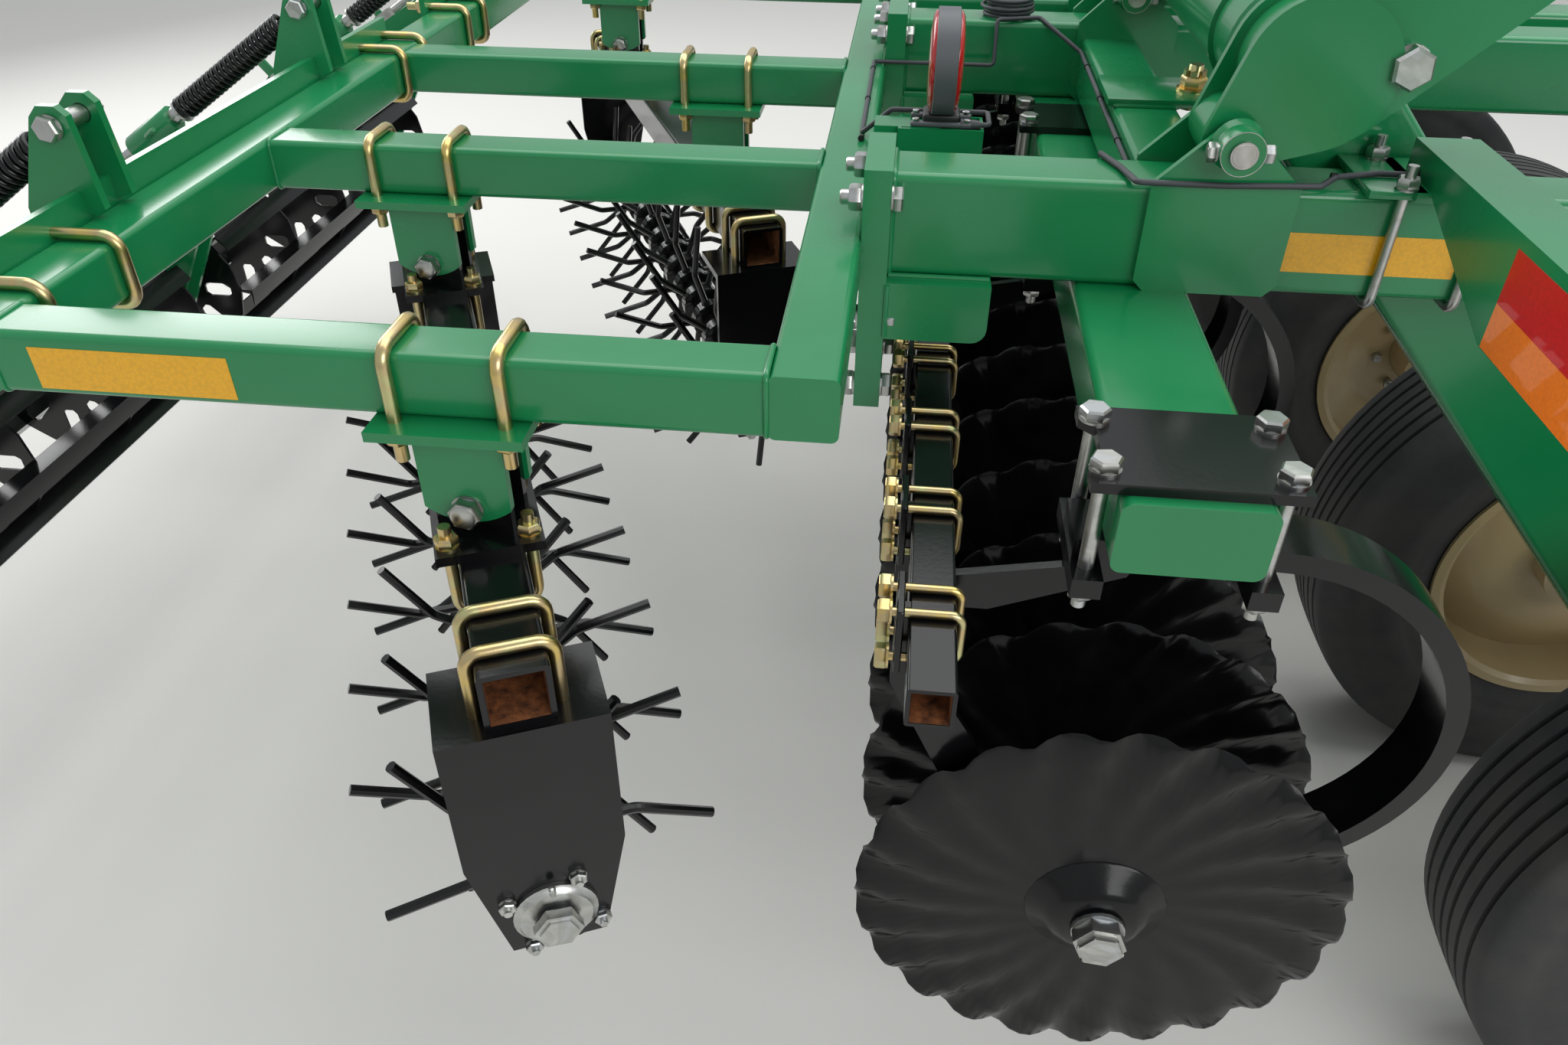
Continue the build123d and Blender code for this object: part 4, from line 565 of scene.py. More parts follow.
# Columns: reel node, near end X and Y, length, distances of its hangers from the near end
spike_gangs = (("spike_reel_a", -2.2323, -1.662, 1.28262, (0.27978, 1.00294)),
               ("spike_reel_b", -2.1270, -0.456, 1.60055, (0.29061, 1.31106)))
gang_bolts = bmesh.new()
pivot_bolts = bmesh.new()
for node, near_x, near_y, length, hung in spike_gangs:
    near = Vector((near_x, near_y, 0))
    for distance in hung:
        at = near + along * distance
        for way in (-1, 1):
            u_bolt(gang_bolts, at + along * way * 0.062 + upward * 1.176, -upward, across, 0.0465, 0.124,
                   0.0075, 0.018, 0.028)
        for way, thick in ((-1, 0.016), (1, 0.0125)):
            hex_head(pivot_bolts, (at.x, at.y + way * 0.042, 1.178), (0, way, 0), 0.034, thick, 0.3)
            turned_bar(pivot_bolts, (at.x, at.y + way * 0.056, 1.178), (0, way, 0),
                       [(0.0, 0.0155), (0.005, 0.0148), (0.0062, 0.0125)], 18)
    for end, way in ((0.0, 1), (length, -1)):
        for inset in (0.03, 0.098):
            at = near + along * (end + way * inset)
            u_bolt(gang_bolts, at + upward * 1.018, upward, across, 0.0465, 0.126, 0.0075, 0.018, 0.0299)
finished("spike_gang_u_bolts", gang_bolts, yellow_zinc, "frame")
finished("hanger_pivot_bolts", pivot_bolts, clear_zinc, "frame")


# Open tube ends: the square tubes of the spike gangs and scraper bars are left uncapped, so their
# unpainted insides have rusted brown.
rust, rust_shader, rust_place = surface("rusted_bare_steel")
rust_grain = noise(rust, rust_place, 60.0, Detail=8.0, Roughness=0.7)
toned(rust, rust_shader, rust_grain, "Fac", (0.35, linear("#3a2015")), (0.7, linear("#a8683a")))
embossed(rust, rust_shader, rust_grain, 0.4, 0.0008)
rust_shader.inputs["Roughness"].default_value = 0.75


def tube_lining(form, mouth, inward, flat, size, depth):
    """Inside walls of a square tube's open end, from its mouth inwards, closed at the back."""
    inward, flat = Vector(inward).normalized(), Vector(flat).normalized()
    mouth = Vector(mouth)
    outer = block(form, mouth + inward * depth / 2, (size, size, depth), facing(flat, upward, inward))
    lid = [f for f in {f for v in outer for f in v.link_faces}
           if abs((f.calc_center_median() - mouth).dot(inward)) < 0.001]
    bmesh.ops.inset_region(form, faces=lid, thickness=0.0009, use_even_offset=True)
    bmesh.ops.translate(form, verts=list({v for f in lid for v in f.verts}), vec=inward * (depth - 0.002))


lip = 0.0006
linings = bmesh.new()
for node, near_x, near_y, length, hung in spike_gangs:
    near = Vector((near_x, near_y, tube_z))
    tube_lining(linings, near + along * lip, along, across, 0.0628, 0.16)
    tube_lining(linings, near + along * (length - lip), -along, across, 0.0628, 0.16)
for gang_x in (rear_gang_x, front_gang_x):
    for way in (-1, 1):
        tube_lining(linings, (gang_x - bar_behind, way * (1.653 - lip), bar_z), (0, -way, 0), (1, 0, 0),
                    0.0406, 0.14)
finished("rusty_tube_linings", linings, rust, "frame", 30)


# Spike reels: round bars bent like knees, welded five to a ring on rings along a shaft, with
# alternate rings turned by half a step. The shaft runs in flange bearings on the standards.
ring_pitch = 0.096
bars = 5
for node, near_x, near_y, length, hung in spike_gangs:
    near = Vector((near_x, near_y, reel_z))
    reel = bmesh.new()
    rings = int((length - 0.124) // ring_pitch)
    first_ring = (length - (rings - 1) * ring_pitch) / 2
    round_bar(reel, near - along * 0.03, along, 0.0265, length + 0.06, 20)
    for index in range(rings):
        centre = near + along * (first_ring + index * ring_pitch)
        turned_bar(reel, centre, along, [(-0.017, 0.044), (-0.015, 0.047), (0.015, 0.047), (0.017, 0.044)],
                   18)
        for bar in range(bars):
            angle = 2 * pi / bars * bar + pi / bars * (index % 2)
            radial = across * cos(angle) + upward * sin(angle)
            bent_rod(reel, centre + radial * 0.04, radial, 0.0072,
                     [("go", 0.0755), ("turn", along, 24, 0.03), ("go", 0.1055)], 8)
            turned_bar(reel, centre + radial * 0.046, radial, [(0.0, 0.0115), (0.006, 0.0078)], 8)
    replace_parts(finished(node + "_spikes", reel, black_enamel, node, 38), node)
    ends = bmesh.new()
    for end, way in ((-0.0295, -1), (length + 0.0295, 1)):
        tip = near + along * end
        turned_bar(ends, tip, along * way, [(0.0, 0.024), (0.0005, 0.0295), (0.013, 0.0295),
                                            (0.0135, 0.023), (0.0162, 0.023)], 6, 0.4)
        round_bar(ends, tip, along * way, 0.012, 0.0163)
    finished(node + "_end_nuts", ends, clear_zinc, node)
bearings = bmesh.new()
for node, near_x, near_y, length, hung in spike_gangs:
    near = Vector((near_x, near_y, reel_z))
    for end, way in ((-0.0103, -1), (length + 0.0103, 1)):
        seat = near + along * end
        turned_bar(bearings, seat, along * way, [(0.0, 0.0505), (0.006, 0.0505), (0.0075, 0.047),
                                                 (0.013, 0.043), (0.0135, 0.0305)], 30)
        for corner in range(4):
            lean = pi / 4 + corner * pi / 2 + 0.25
            at = seat + (across * cos(lean) + upward * sin(lean)) * 0.062
            hex_head(bearings, at, along * way, 0.019, 0.008, 0.2 * corner)
            turned_bar(bearings, at, along * way, [(0.010, 0.005), (0.016, 0.005)], 10)
        bent_rod(bearings, seat + along * way * 0.01 + upward * 0.04, upward, 0.0045,
                 [("go", 0.012), ("turn", across, 40 * way, 0.008), ("go", 0.006)], 8)
finished("reel_flange_bearings", bearings, clear_zinc, "frame")


# Rolling baskets: cast end bearings on the plate standards, each held by four bolts, and clear
# zinc plated like them.
basket_x = -3.72
basket_z = 0.69
basket_ends = bmesh.new()
for way_side in (-1, 1):
    for end in (-1, 1):
        face_y = way_side * 0.737 + end * 0.7073
        turned_bar(basket_ends, (basket_x, face_y, basket_z), (0, end, 0),
                   [(0.0, 0.046), (0.005, 0.046), (0.0065, 0.042), (0.012, 0.036), (0.0125, 0.0268)], 26)
        for corner in range(4):
            lean = pi / 4 + corner * pi / 2
            at = (basket_x + 0.056 * cos(lean), face_y, basket_z + 0.038 * sin(lean))
            hex_head(basket_ends, at, (0, end, 0), 0.019, 0.008, 0.3)
finished("basket_bearings", basket_ends, clear_zinc, "frame")


# Down-pressure springs: a plated rod from each lug pair down to a fork on the arm, with a black
# coil spring and a green adjusting sleeve, and a flat handle at its foot.
turns = 23
steps = turns * 16
coil_radius = 0.0188
coil_length = 0.286
rod_top = Vector((-2.95, 0, 1.488))
rod_foot = Vector((-3.49, 0, 1.132))
rod_way = (rod_foot - rod_top).normalized()
rod_length = (rod_foot - rod_top).length
rod_side = rod_way.cross(Vector((0, 1, 0))).normalized()
handle_way = Vector((-0.09, 0, 0.111)).normalized()
handle_turn = facing(handle_way, (0, 1, 0), handle_way.cross(Vector((0, 1, 0))))
coils = bmesh.new()
rods = bmesh.new()
sleeves = bmesh.new()
for lug_y in (-1.082, -0.392, 0.392, 1.082):
    top = rod_top + Vector((0, lug_y, 0))
    round_bar(rods, top, rod_way, 0.0098, 0.36, 14)
    turned_bar(rods, top, (0, 1, 0), [(-0.044, 0.0122), (0.044, 0.0122)], 16)
    for way in (-1, 1):
        hex_head(rods, (top.x, lug_y + way * 0.038, top.z), (0, way, 0), 0.03, 0.012, 0.3)
    round_bar(rods, top + rod_way * 0.352, rod_way, 0.0235, 0.005, 18)
    turned_bar(rods, top + rod_way * 0.36, rod_way, [(0.0, 0.014), (0.01, 0.016), (0.03, 0.013)], 16)
    round_bar(rods, top + rod_way * 0.49, rod_way, 0.0115, rod_length - 0.528)
    for ridge in range(14):
        turned_bar(rods, top + rod_way * (0.5 + ridge * 0.0075), rod_way,
                   [(0.0, 0.0112), (0.0025, 0.0122), (0.005, 0.0112)], 14)
    turned_bar(sleeves, top + rod_way * 0.382, rod_way,
               [(0.0, 0.0235), (0.002, 0.0248), (0.112, 0.0248), (0.115, 0.0235)], 22)
    coil_top = top + rod_way * 0.062
    wire = bmesh.ops.create_circle(coils, segments=8, radius=0.0048, cap_ends=False,
                                   matrix=pointing(coil_top + Vector((0, coil_radius, 0)), rod_side))
    ring = edges_of(wire["verts"])
    bmesh.ops.contextual_create(coils, geom=ring)
    swept = bmesh.ops.spin(coils, geom=ring, cent=coil_top, axis=rod_way, angle=2 * pi * turns,
                           steps=steps, dvec=rod_way * (coil_length / steps))
    bmesh.ops.contextual_create(coils, geom=only(bmesh.types.BMEdge, swept["geom_last"]))
    for way in (-1, 1):
        bent_rod(sleeves, top + rod_way * 0.43 + Vector((0, way * 0.024, 0)), (0, way, 0), 0.0045,
                 [("go", 0.012), ("turn", rod_side * way, 70, 0.012), ("go", 0.03)], 8)
    # Fork at the rod's foot: two plates on a pin through the arm's tail, with the flat handle
    foot = rod_foot + Vector((0, lug_y, 0))
    for way in (-1, 1):
        plate_side = foot + Vector((0, way * 0.0071, 0))
        for place in (plate_side, plate_side - rod_way * 0.044):
            round_bar(rods, place, (0, way, 0), 0.0149, 0.0078, 24)
        block(rods, plate_side - rod_way * 0.022 + Vector((0, way * 0.0039, 0)), (0.044, 0.0078, 0.0298),
              facing(rod_way, (0, 1, 0), rod_side))
    turned_bar(rods, foot, (0, 1, 0), [(-0.0225, 0.0078), (0.0225, 0.0078)], 16)
    turned_bar(rods, foot + Vector((0, -0.0225, 0)), (0, -1, 0), [(0.0, 0.012), (0.004, 0.011)], 18)
    block(sleeves, foot + Vector((0, 0.0186, 0)) + handle_way * 0.046, (0.13, 0.006, 0.026), handle_turn,
          0.0022)
finished("down_pressure_coils", coils, black_enamel, "frame", 60)
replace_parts(finished("down_pressure_rods", rods, clear_zinc, "frame"), "basket_springs")
finished("down_pressure_sleeves", sleeves, green_enamel, "frame")


# Rockshaft pivots: a plated pin through each pair of brackets, kept by a collar welded to a pad
# on the bracket, with a bolt through the collar and the pin.
pivot_x = -1.479
pivot_z = 1.502
pivot_fittings = bmesh.new()
collar_welds = bmesh.new()
for main_y in main_ys:
    out = -1 if main_y < 0 else 1
    collar_y = main_y + out * 0.08
    bolt_z = pivot_z - 0.004
    bent_rod(pivot_fittings, (pivot_x - 0.038, collar_y, bolt_z), (1, 0, 0), 0.006, [("go", 0.078)], 10)
    for way, thick in ((-1, 0.009), (1, 0.011)):
        hex_head(pivot_fittings, (pivot_x + way * 0.0262, collar_y, bolt_z), (way, 0, 0), 0.021, thick, 0.2)
    turned_bar(pivot_fittings, (pivot_x, main_y + out * 0.103, pivot_z), (0, out, 0),
               [(0.0, 0.0145), (0.0015, 0.0135)], 24)
    turned_bar(collar_welds, (pivot_x, main_y + out * 0.0608, pivot_z), (0, out, 0),
               [(0.0, 0.0315), (0.004, 0.0295), (0.0085, 0.0268)], 26)
    turned_bar(collar_welds, (pivot_x, main_y + out * 0.068, pivot_z), (0, out, 0),
               [(0.0, 0.0268), (0.029, 0.0268), (0.0312, 0.0256)], 26)
finished("pivot_collar_bolts", pivot_fittings, clear_zinc, "frame")
finished("pivot_collars", collar_welds, green_enamel, "frame")


# Rockshaft joints: the round tube passes through the teardrop plates with a fillet weld all
# round, and each crank carries a 1 inch bolt where a stop is fixed.
shaft_x = -1.398
shaft_z = 1.58
shaft_end = 1.02
shaft_welds = bmesh.new()
# Columns: middles of the plates or arms, half their thickness, foot of the fillet
for middles, half, foot in ((main_ys, 0.0451, 0.0865), ((-0.859, 0.859), 0.0512, 0.0862)):
    for middle in middles:
        for way in (-1, 1):
            if abs(middle + way * half) < shaft_end:
                turned_bar(shaft_welds, (shaft_x, middle + way * half, shaft_z), (0, way, 0),
                           [(0.0, foot), (0.003, 0.0835), (0.006, 0.0806)], 34)
finished("rockshaft_welds", shaft_welds, green_enamel, "rockshaft", 60)
outer_main = main_ys[-1]
stop_bolts = bmesh.new()
for crank_y in (-outer_main, outer_main):
    for way in (-1, 1):
        hex_head(stop_bolts, (-1.1, crank_y + way * 0.041, 1.79), (0, way, 0), 0.04, 0.016, 0.3)
        hex_head(stop_bolts, (-1.3, crank_y + way * 0.0332, 1.592), (0, way, 0), 0.044, 0.02, 0.1)
finished("crank_bolts", stop_bolts, clear_zinc, "rockshaft")


# Tyres: ribbed implement tyres on a 15 inch rim. Each rib runs all round, and the sidewalls carry
# fine moulded rings and a bead band.
rubber, rubber_shader, rubber_place = surface("carbon_black_tyre_rubber")
rubber_dust = noise(rubber, rubber_place, 7.0, Detail=7.0, Roughness=0.65)
toned(rubber, rubber_shader, rubber_dust, "Fac", (0.35, linear("#242528")), (0.75, linear("#3c3b39")))
embossed(rubber, rubber_shader, noise(rubber, rubber_place, 300.0), 0.2, 0.0005)
rubber_shader.inputs["Roughness"].default_value = 0.62

axle_x = -0.45
axle_z = 0.521
# Columns: distance from the wheel's middle, radius, from bead to bead over the crown
tyre_half = [(0.094, 0.2875), (0.1, 0.3), (0.107, 0.309), (0.11, 0.322), (0.121, 0.335), (0.124, 0.345),
             (0.1325, 0.365), (0.1345, 0.367), (0.1392, 0.4), (0.1375, 0.43), (0.1325, 0.455),
             (0.1335, 0.459), (0.129, 0.478), (0.1225, 0.4945), (0.118, 0.5055), (0.112, 0.5125),
             (0.106, 0.516), (0.084, 0.5188), (0.082, 0.5095), (0.076, 0.5095), (0.074, 0.5195),
             (0.051, 0.5205), (0.049, 0.5105), (0.043, 0.5105), (0.041, 0.5207), (0.0185, 0.521),
             (0.0165, 0.511), (0.0105, 0.511), (0.0085, 0.521)]
wheel_twins = (("right", (-1.289, -0.429)), ("left", (0.429, 1.289)))
for name, wheel_ys in wheel_twins:
    tread = bmesh.new()
    for wheel_y in wheel_ys:
        outline = [(-y, r) for y, r in tyre_half] + [(y, r) for y, r in reversed(tyre_half)]
        points = [tread.verts.new((axle_x, wheel_y + y, axle_z - r)) for y, r in outline]
        edges = [tread.edges.new(pair) for pair in zip(points, points[1:] + points[:1])]
        bmesh.ops.spin(tread, geom=points + edges, cent=(axle_x, 0, axle_z), axis=(0, 1, 0),
                       angle=2 * pi, steps=96, dvec=(0, 0, 0), use_merge=True)
    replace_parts(finished(name + "_ribbed_tyres", tread, rubber, name + "_wheels", 50),
                name + "_tyres")


# Rims: rolled steel rims with a dished disc, in cream gloss paint, on a black hub with its dust
# cap and eight wheel nuts.
cream_paint = sprayed_enamel("cream_rim_enamel", "#b7a47c", "#a5916a", 0.3, 0.1)
dress(["right_rims", "left_rims"], cream_paint)
bolt_circle = 0.118
for name, wheel_ys in wheel_twins:
    caps = bmesh.new()
    wheel_nuts = bmesh.new()
    for wheel_y, out in zip(wheel_ys, (-1, 1)):
        turned_bar(caps, (axle_x, wheel_y + out * 0.09, axle_z), (0, out, 0),
                   [(0.0003, 0.07), (0.004, 0.07), (0.006, 0.05), (0.03, 0.047), (0.034, 0.042)], 28)
        for bolt in range(8):
            lean = bolt * pi / 4 + 0.2
            at = (axle_x + bolt_circle * cos(lean), wheel_y - out * 0.0298,
                  axle_z + bolt_circle * sin(lean))
            hex_head(wheel_nuts, at, (0, out, 0), 0.022, 0.016, 0.3)
            turned_bar(wheel_nuts, at, (0, out, 0), [(0.017, 0.0062), (0.026, 0.0062)], 10)
    finished(name + "_hub_caps", caps, black_enamel, name + "_wheels")
    finished(name + "_wheel_nuts", wheel_nuts, clear_zinc, name + "_wheels")


# Warning lamps: a round red lens to the front and to the rear in a grey moulded rim, on a black
# foot with two grey ears screwed to the post's top.
def shaded(colour, factor):
    """A linear colour from an sRGB hex value, made lighter or darker."""
    return [min(1.0, c * factor) for c in linear(colour)[:3]] + [1.0]


def moulded_plastic(name, colour, rough, coat=0.0):
    """Injection moulded plastic: one colour with a fine moulded grain."""
    material, shader, place = surface(name)
    wear = noise(material, place, 14.0, Detail=4.0)
    toned(material, shader, wear, "Fac", (0.0, shaded(colour, 0.85)), (1.0, shaded(colour, 1.12)))
    embossed(material, shader, noise(material, place, 500.0), 0.1, 0.0003)
    shader.inputs["Roughness"].default_value = rough
    shader.inputs["Coat Weight"].default_value = coat
    return material


red_lens = moulded_plastic("red_acrylic_lens", "#b5121b", 0.12, 0.6)
grey_plastic = moulded_plastic("grey_polypropylene", "#55585c", 0.42)
black_plastic = moulded_plastic("black_polyamide", "#161618", 0.4)
lens_form = bmesh.new()
rim_form = bmesh.new()
foot_form = bmesh.new()
lamp_screws = bmesh.new()
lamp_x = -1.824
lamp_half = 0.694
for lamp_y in (-lamp_half, lamp_half):
    centre = Vector((lamp_x, lamp_y, 1.501))
    turned_bar(rim_form, centre, (1, 0, 0),
               [(-0.0165, 0.0725), (-0.0155, 0.0745), (0.0155, 0.0745), (0.0165, 0.0725)], 44)
    for way in (-1, 1):
        turned_bar(lens_form, centre + Vector((way * 0.0163, 0, 0)), (way, 0, 0),
                   [(0.0, 0.0705), (0.003, 0.0695), (0.0065, 0.062), (0.0088, 0.04), (0.0094, 0.012)], 44)
    block(foot_form, (lamp_x, lamp_y, 1.4216), (0.056, 0.05, 0.019), bevel=0.005)
    block(foot_form, (lamp_x, lamp_y, 1.436), (0.028, 0.04, 0.016), bevel=0.004)
    for way_y in (-1, 1):
        block(rim_form, (lamp_x, lamp_y + way_y * 0.022, 1.4162), (0.092, 0.012, 0.008), bevel=0.003)
    for way_x in (-1, 1):
        for way_y in (-1, 1):
            hex_head(lamp_screws, (lamp_x + way_x * 0.038, lamp_y + way_y * 0.022, 1.4202), (0, 0, 1),
                     0.0095, 0.004, 0.3, False)
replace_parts(finished("warning_lamp_lenses", lens_form, red_lens, "frame", 50),
            "warning_lamps")
finished("warning_lamp_rims", rim_form, grey_plastic, "frame", 40)
finished("warning_lamp_feet", foot_form, black_plastic, "frame", 40)
finished("warning_lamp_screws", lamp_screws, clear_zinc, "frame")


# Reflective tape: prismatic vinyl strips 2 inches wide, amber along the sides, and red over
# fluorescent orange on the light brackets' rear faces. Its fine cells show as a faint net.
def prismatic_tape(name, colour):
    """Retroreflective vinyl with a fine diamond net of cells 4 mm across."""
    material, shader, place = surface(name)
    cells = add_node(material, "ShaderNodeTexVoronoi", {"Scale": 230.0}, {"Vector": (place, "Object")})
    toned(material, shader, cells, "Distance", (0.0, shaded(colour, 1.08)), (1.0, shaded(colour, 0.86)))
    shader.inputs["Roughness"].default_value = 0.3
    shader.inputs["Coat Weight"].default_value = 0.4
    return material


def tape_strip(form, corner, first, length, width):
    """Upright strip of tape from its lower corner, running level along a direction."""
    first, rise = Vector(first), Vector((0, 0, 1))
    normal = first.cross(rise)
    block(form, Vector(corner) + first * length / 2 + rise * width / 2 + normal * tape_thickness / 2,
          (length, width, tape_thickness), facing(first, rise, normal))


tape_thickness = 0.0005
rail_side = 1.4441
main_side = 1.0341
amber_tape = prismatic_tape("amber_prismatic_tape", "#e8ab06")
red_tape = prismatic_tape("red_prismatic_tape", "#d4141f")
orange_tape = prismatic_tape("fluorescent_orange_vinyl", "#ff7d1a")
ambers = bmesh.new()
# Columns: side, lower corner's X on the outer rail and on the main tube
for way, rail_x, tube_x in ((-1, -2.816, -1.411), (1, -2.587, -1.175)):
    tape_strip(ambers, (rail_x, way * rail_side, 1.3025), (-way, 0, 0), 0.229, 0.051)
    tape_strip(ambers, (tube_x, way * main_side, 1.341), (-way, 0, 0), 0.236, 0.052)
    for stripe in range(5):
        low_x = -1.158 + stripe * 0.024
        corners = ((low_x, 1.341), (low_x + 0.011, 1.341), (low_x + 0.037, 1.393), (low_x + 0.026, 1.393))
        cut_plate(ambers, [(x, way * (main_side + 0.0002), z) for x, z in corners], (0, way * 0.0004, 0))
finished("amber_tape_strips", ambers, amber_tape, "frame")


# Light brackets: each rear web carries red tape over fluorescent orange, and the seat plate is
# held on the main tube by two plain zinc U-bolts.
reds = bmesh.new()
oranges = bmesh.new()
seat_bolts = bmesh.new()
seat_ledges = bmesh.new()
web_back = -1.2431
inner_y = 1.286
outer_y = 1.702
for way, start_y in ((-1, -inner_y), (1, outer_y)):
    tape_strip(reds, (web_back, start_y, 1.4212), (0, -1, 0), outer_y - inner_y, 0.0605)
    tape_strip(oranges, (web_back, start_y, 1.3705), (0, -1, 0), outer_y - inner_y, 0.0505)
    for bolt_x in (-1.268, -1.165):
        u_bolt(seat_bolts, (bolt_x, way * outer_main, 1.4855), (0, 0, -1), (0, 1, 0), 0.0592, 0.1845,
               0.0065, 0.016, 0.0295)
    block(seat_ledges, (-1.2785, way * outer_main, 1.4511), (0.069, 0.14, 0.0098), bevel=0.0012, segments=2)
finished("light_seat_ledges", seat_ledges, green_enamel, "frame")
finished("red_tape_strips", reds, red_tape, "frame")
finished("orange_tape_strips", oranges, orange_tape, "frame")
finished("light_seat_u_bolts", seat_bolts, clear_zinc, "frame")


# Lift cylinders: welded barrels with a gland nut round each chromed rod, a steel line from the
# gland's port, and the anchor pin's heads.
anchor = Vector((-0.25, 0, 1.506))
barrel_way = (Vector((-1.1, 0, 1.79)) - anchor).normalized()
line_length = 0.43
for name, way in (("right", -1), ("left", 1)):
    at = anchor + Vector((0, way * outer_main, 0))
    inward = Vector((0, -way, 0))
    glands = bmesh.new()
    fittings = bmesh.new()
    turned_bar(glands, at + barrel_way * 0.0585, barrel_way,
               [(0.0, 0.0455), (0.002, 0.0512), (0.008, 0.0525), (0.014, 0.0508)], 36)
    turned_bar(glands, at + barrel_way * 0.583, barrel_way,
               [(0.0, 0.0506), (0.003, 0.0545), (0.036, 0.0545), (0.039, 0.052)], 36)
    turned_bar(fittings, at + barrel_way * 0.6203, barrel_way,
               [(0.0, 0.034), (0.012, 0.034), (0.015, 0.0305)], 30)
    for side_way in (-1, 1):
        turned_bar(fittings, at + Vector((0, side_way * 0.0405, 0)), (0, side_way, 0),
                   [(0.0, 0.0235), (0.006, 0.0235), (0.0075, 0.022)], 26)
    base_port = at + barrel_way * 0.085 + inward * 0.05
    gland_port = at + barrel_way * 0.57 + inward * 0.05
    for port in (base_port, gland_port):
        turned_bar(glands, port - inward * 0.006, inward, [(0.0, 0.016), (0.012, 0.0155)], 18)
        hex_head(fittings, port + inward * 0.006, inward, 0.022, 0.01, 0.2, False)
    # Steel line back along the barrel, in two clamps
    line_start = gland_port + inward * 0.015
    line_end = line_start - barrel_way * line_length
    bent_rod(fittings, line_start, -barrel_way, 0.006, [("go", line_length)], 10)
    turned_bar(fittings, line_start + barrel_way * 0.012, -barrel_way,
               [(0.0, 0.0095), (0.028, 0.0095), (0.03, 0.0075)], 14)
    for clip in (0.17, 0.33):
        round_bar(fittings, line_start - barrel_way * clip, -barrel_way, 0.009, 0.014, 14)
        round_bar(fittings, gland_port - inward * 0.003 - barrel_way * (clip + 0.007), inward,
                  0.006, 0.014, 12)
    for swivel in (base_port + inward * 0.016, line_end):
        bmesh.ops.create_uvsphere(fittings, u_segments=18, v_segments=12, radius=0.0165,
                                  matrix=Matrix.Translation(swivel))
    finished(name + "_cylinder_glands", glands, black_enamel, name + "_barrel")
    finished(name + "_cylinder_fittings", fittings, clear_zinc, name + "_barrel")


# Hoses: two wire-braid rubber hoses leave each lift cylinder, lie in clips along the main tubes
# and over the front tube, and follow the tongue's top to quick couplers at the hitch.
def routed(form, points, radius, bend, sides=10):
    """Bent rod or hose through points, with one bend radius at every corner."""
    points = [Vector(point) for point in points]
    moves = []
    cut = 0.0
    for before, corner, after in zip(points, points[1:], points[2:]):
        first, second = corner - before, after - corner
        angle = first.angle(second)
        tangent = bend * sin(angle / 2) / cos(angle / 2)
        moves.append(("go", first.length - cut - tangent))
        moves.append(("turn", first.cross(second), angle * 180 / pi, bend))
        cut = tangent
    moves.append(("go", (points[-1] - points[-2]).length - cut))
    bent_rod(form, points[0], points[1] - points[0], radius, moves, sides)


hose_rubber = moulded_plastic("wire_braid_hose_rubber", "#151517", 0.5)
tongue_run = 2.02
tongue_fall = 0.817
tongue_way = Vector((tongue_run, 0, -tongue_fall)).normalized()
tongue_up = Vector((tongue_fall, 0, tongue_run)).normalized()
hinge = Vector((1.67, 0, 1.377))
clip_side = 0.9212
hoses = bmesh.new()
hose_clips = bmesh.new()
couplers = bmesh.new()
for way in (-1, 1):
    inward = Vector((0, -way, 0))
    at = anchor + Vector((0, way * outer_main, 0))
    swivels = (at + barrel_way * 0.085 + inward * 0.066, at + barrel_way * 0.14 + inward * 0.065)
    for number, swivel in enumerate(swivels):
        low_z = 1.424 - 0.026 * number
        lane = way * (0.0485 - 0.024 * number)
        over_x = 1.386 - 0.026 * number
        top_line = hinge + tongue_up * 0.1125 + Vector((0, lane, 0))
        tongue_far = top_line + tongue_way * 2.02
        tip = tongue_far + tongue_way * 0.12 + tongue_up * 0.075
        # From the swivel along the main tube, over the front tube, and down the tongue's top
        routed(hoses, [swivel, (swivel.x + 0.1, way * 0.9145, swivel.z - 0.02),
                       (swivel.x + 0.24, way * clip_side, low_z), (over_x, way * clip_side, low_z),
                       (over_x, way * 0.86, 1.4575), (over_x, lane, 1.4575), (1.60, lane, 1.4575),
                       top_line + tongue_way * 0.2, tongue_far, tip], 0.0095, 0.03)
        tip_way = (tip - tongue_far).normalized()
        round_bar(couplers, tip - tip_way * 0.03, tip_way, 0.0118, 0.03)
        hex_head(couplers, tip, tip_way, 0.03, 0.016, 0.2, False)
        turned_bar(couplers, tip + tip_way * 0.016, tip_way,
                   [(0.0, 0.0115), (0.012, 0.0115), (0.014, 0.0145), (0.034, 0.0145), (0.036, 0.0125)], 20)
    for clip_x in (0.12, 0.5, 0.88, 1.22):
        for low_z in (1.424, 1.398):
            round_bar(hose_clips, (clip_x - 0.008, way * clip_side, low_z), (1, 0, 0), 0.0108, 0.016, 18)
        hex_head(hose_clips, (clip_x, way * 0.9319, 1.411), (0, -way, 0), 0.013, 0.012, 0.2)
for clip_at in (0.42, 0.84, 1.26, 1.68, 1.98):
    foot = hinge + tongue_way * clip_at
    block(hose_clips, foot + tongue_up * 0.1237, (0.03, 0.12, 0.0035),
          facing(tongue_way, (0, 1, 0), tongue_up))
    for bolt_y in (-0.0558, 0.0, 0.0558):
        hex_head(hose_clips, foot + tongue_up * 0.1252 + Vector((0, bolt_y, 0)), tongue_up, 0.013, 0.006,
                 0.2)
        round_bar(hose_clips, foot + tongue_up * 0.1018 + Vector((0, bolt_y, 0)), tongue_up, 0.005,
                  0.022, 10)
finished("lift_hoses", hoses, hose_rubber, "frame", 60)
finished("hose_clips", hose_clips, clear_zinc, "frame")
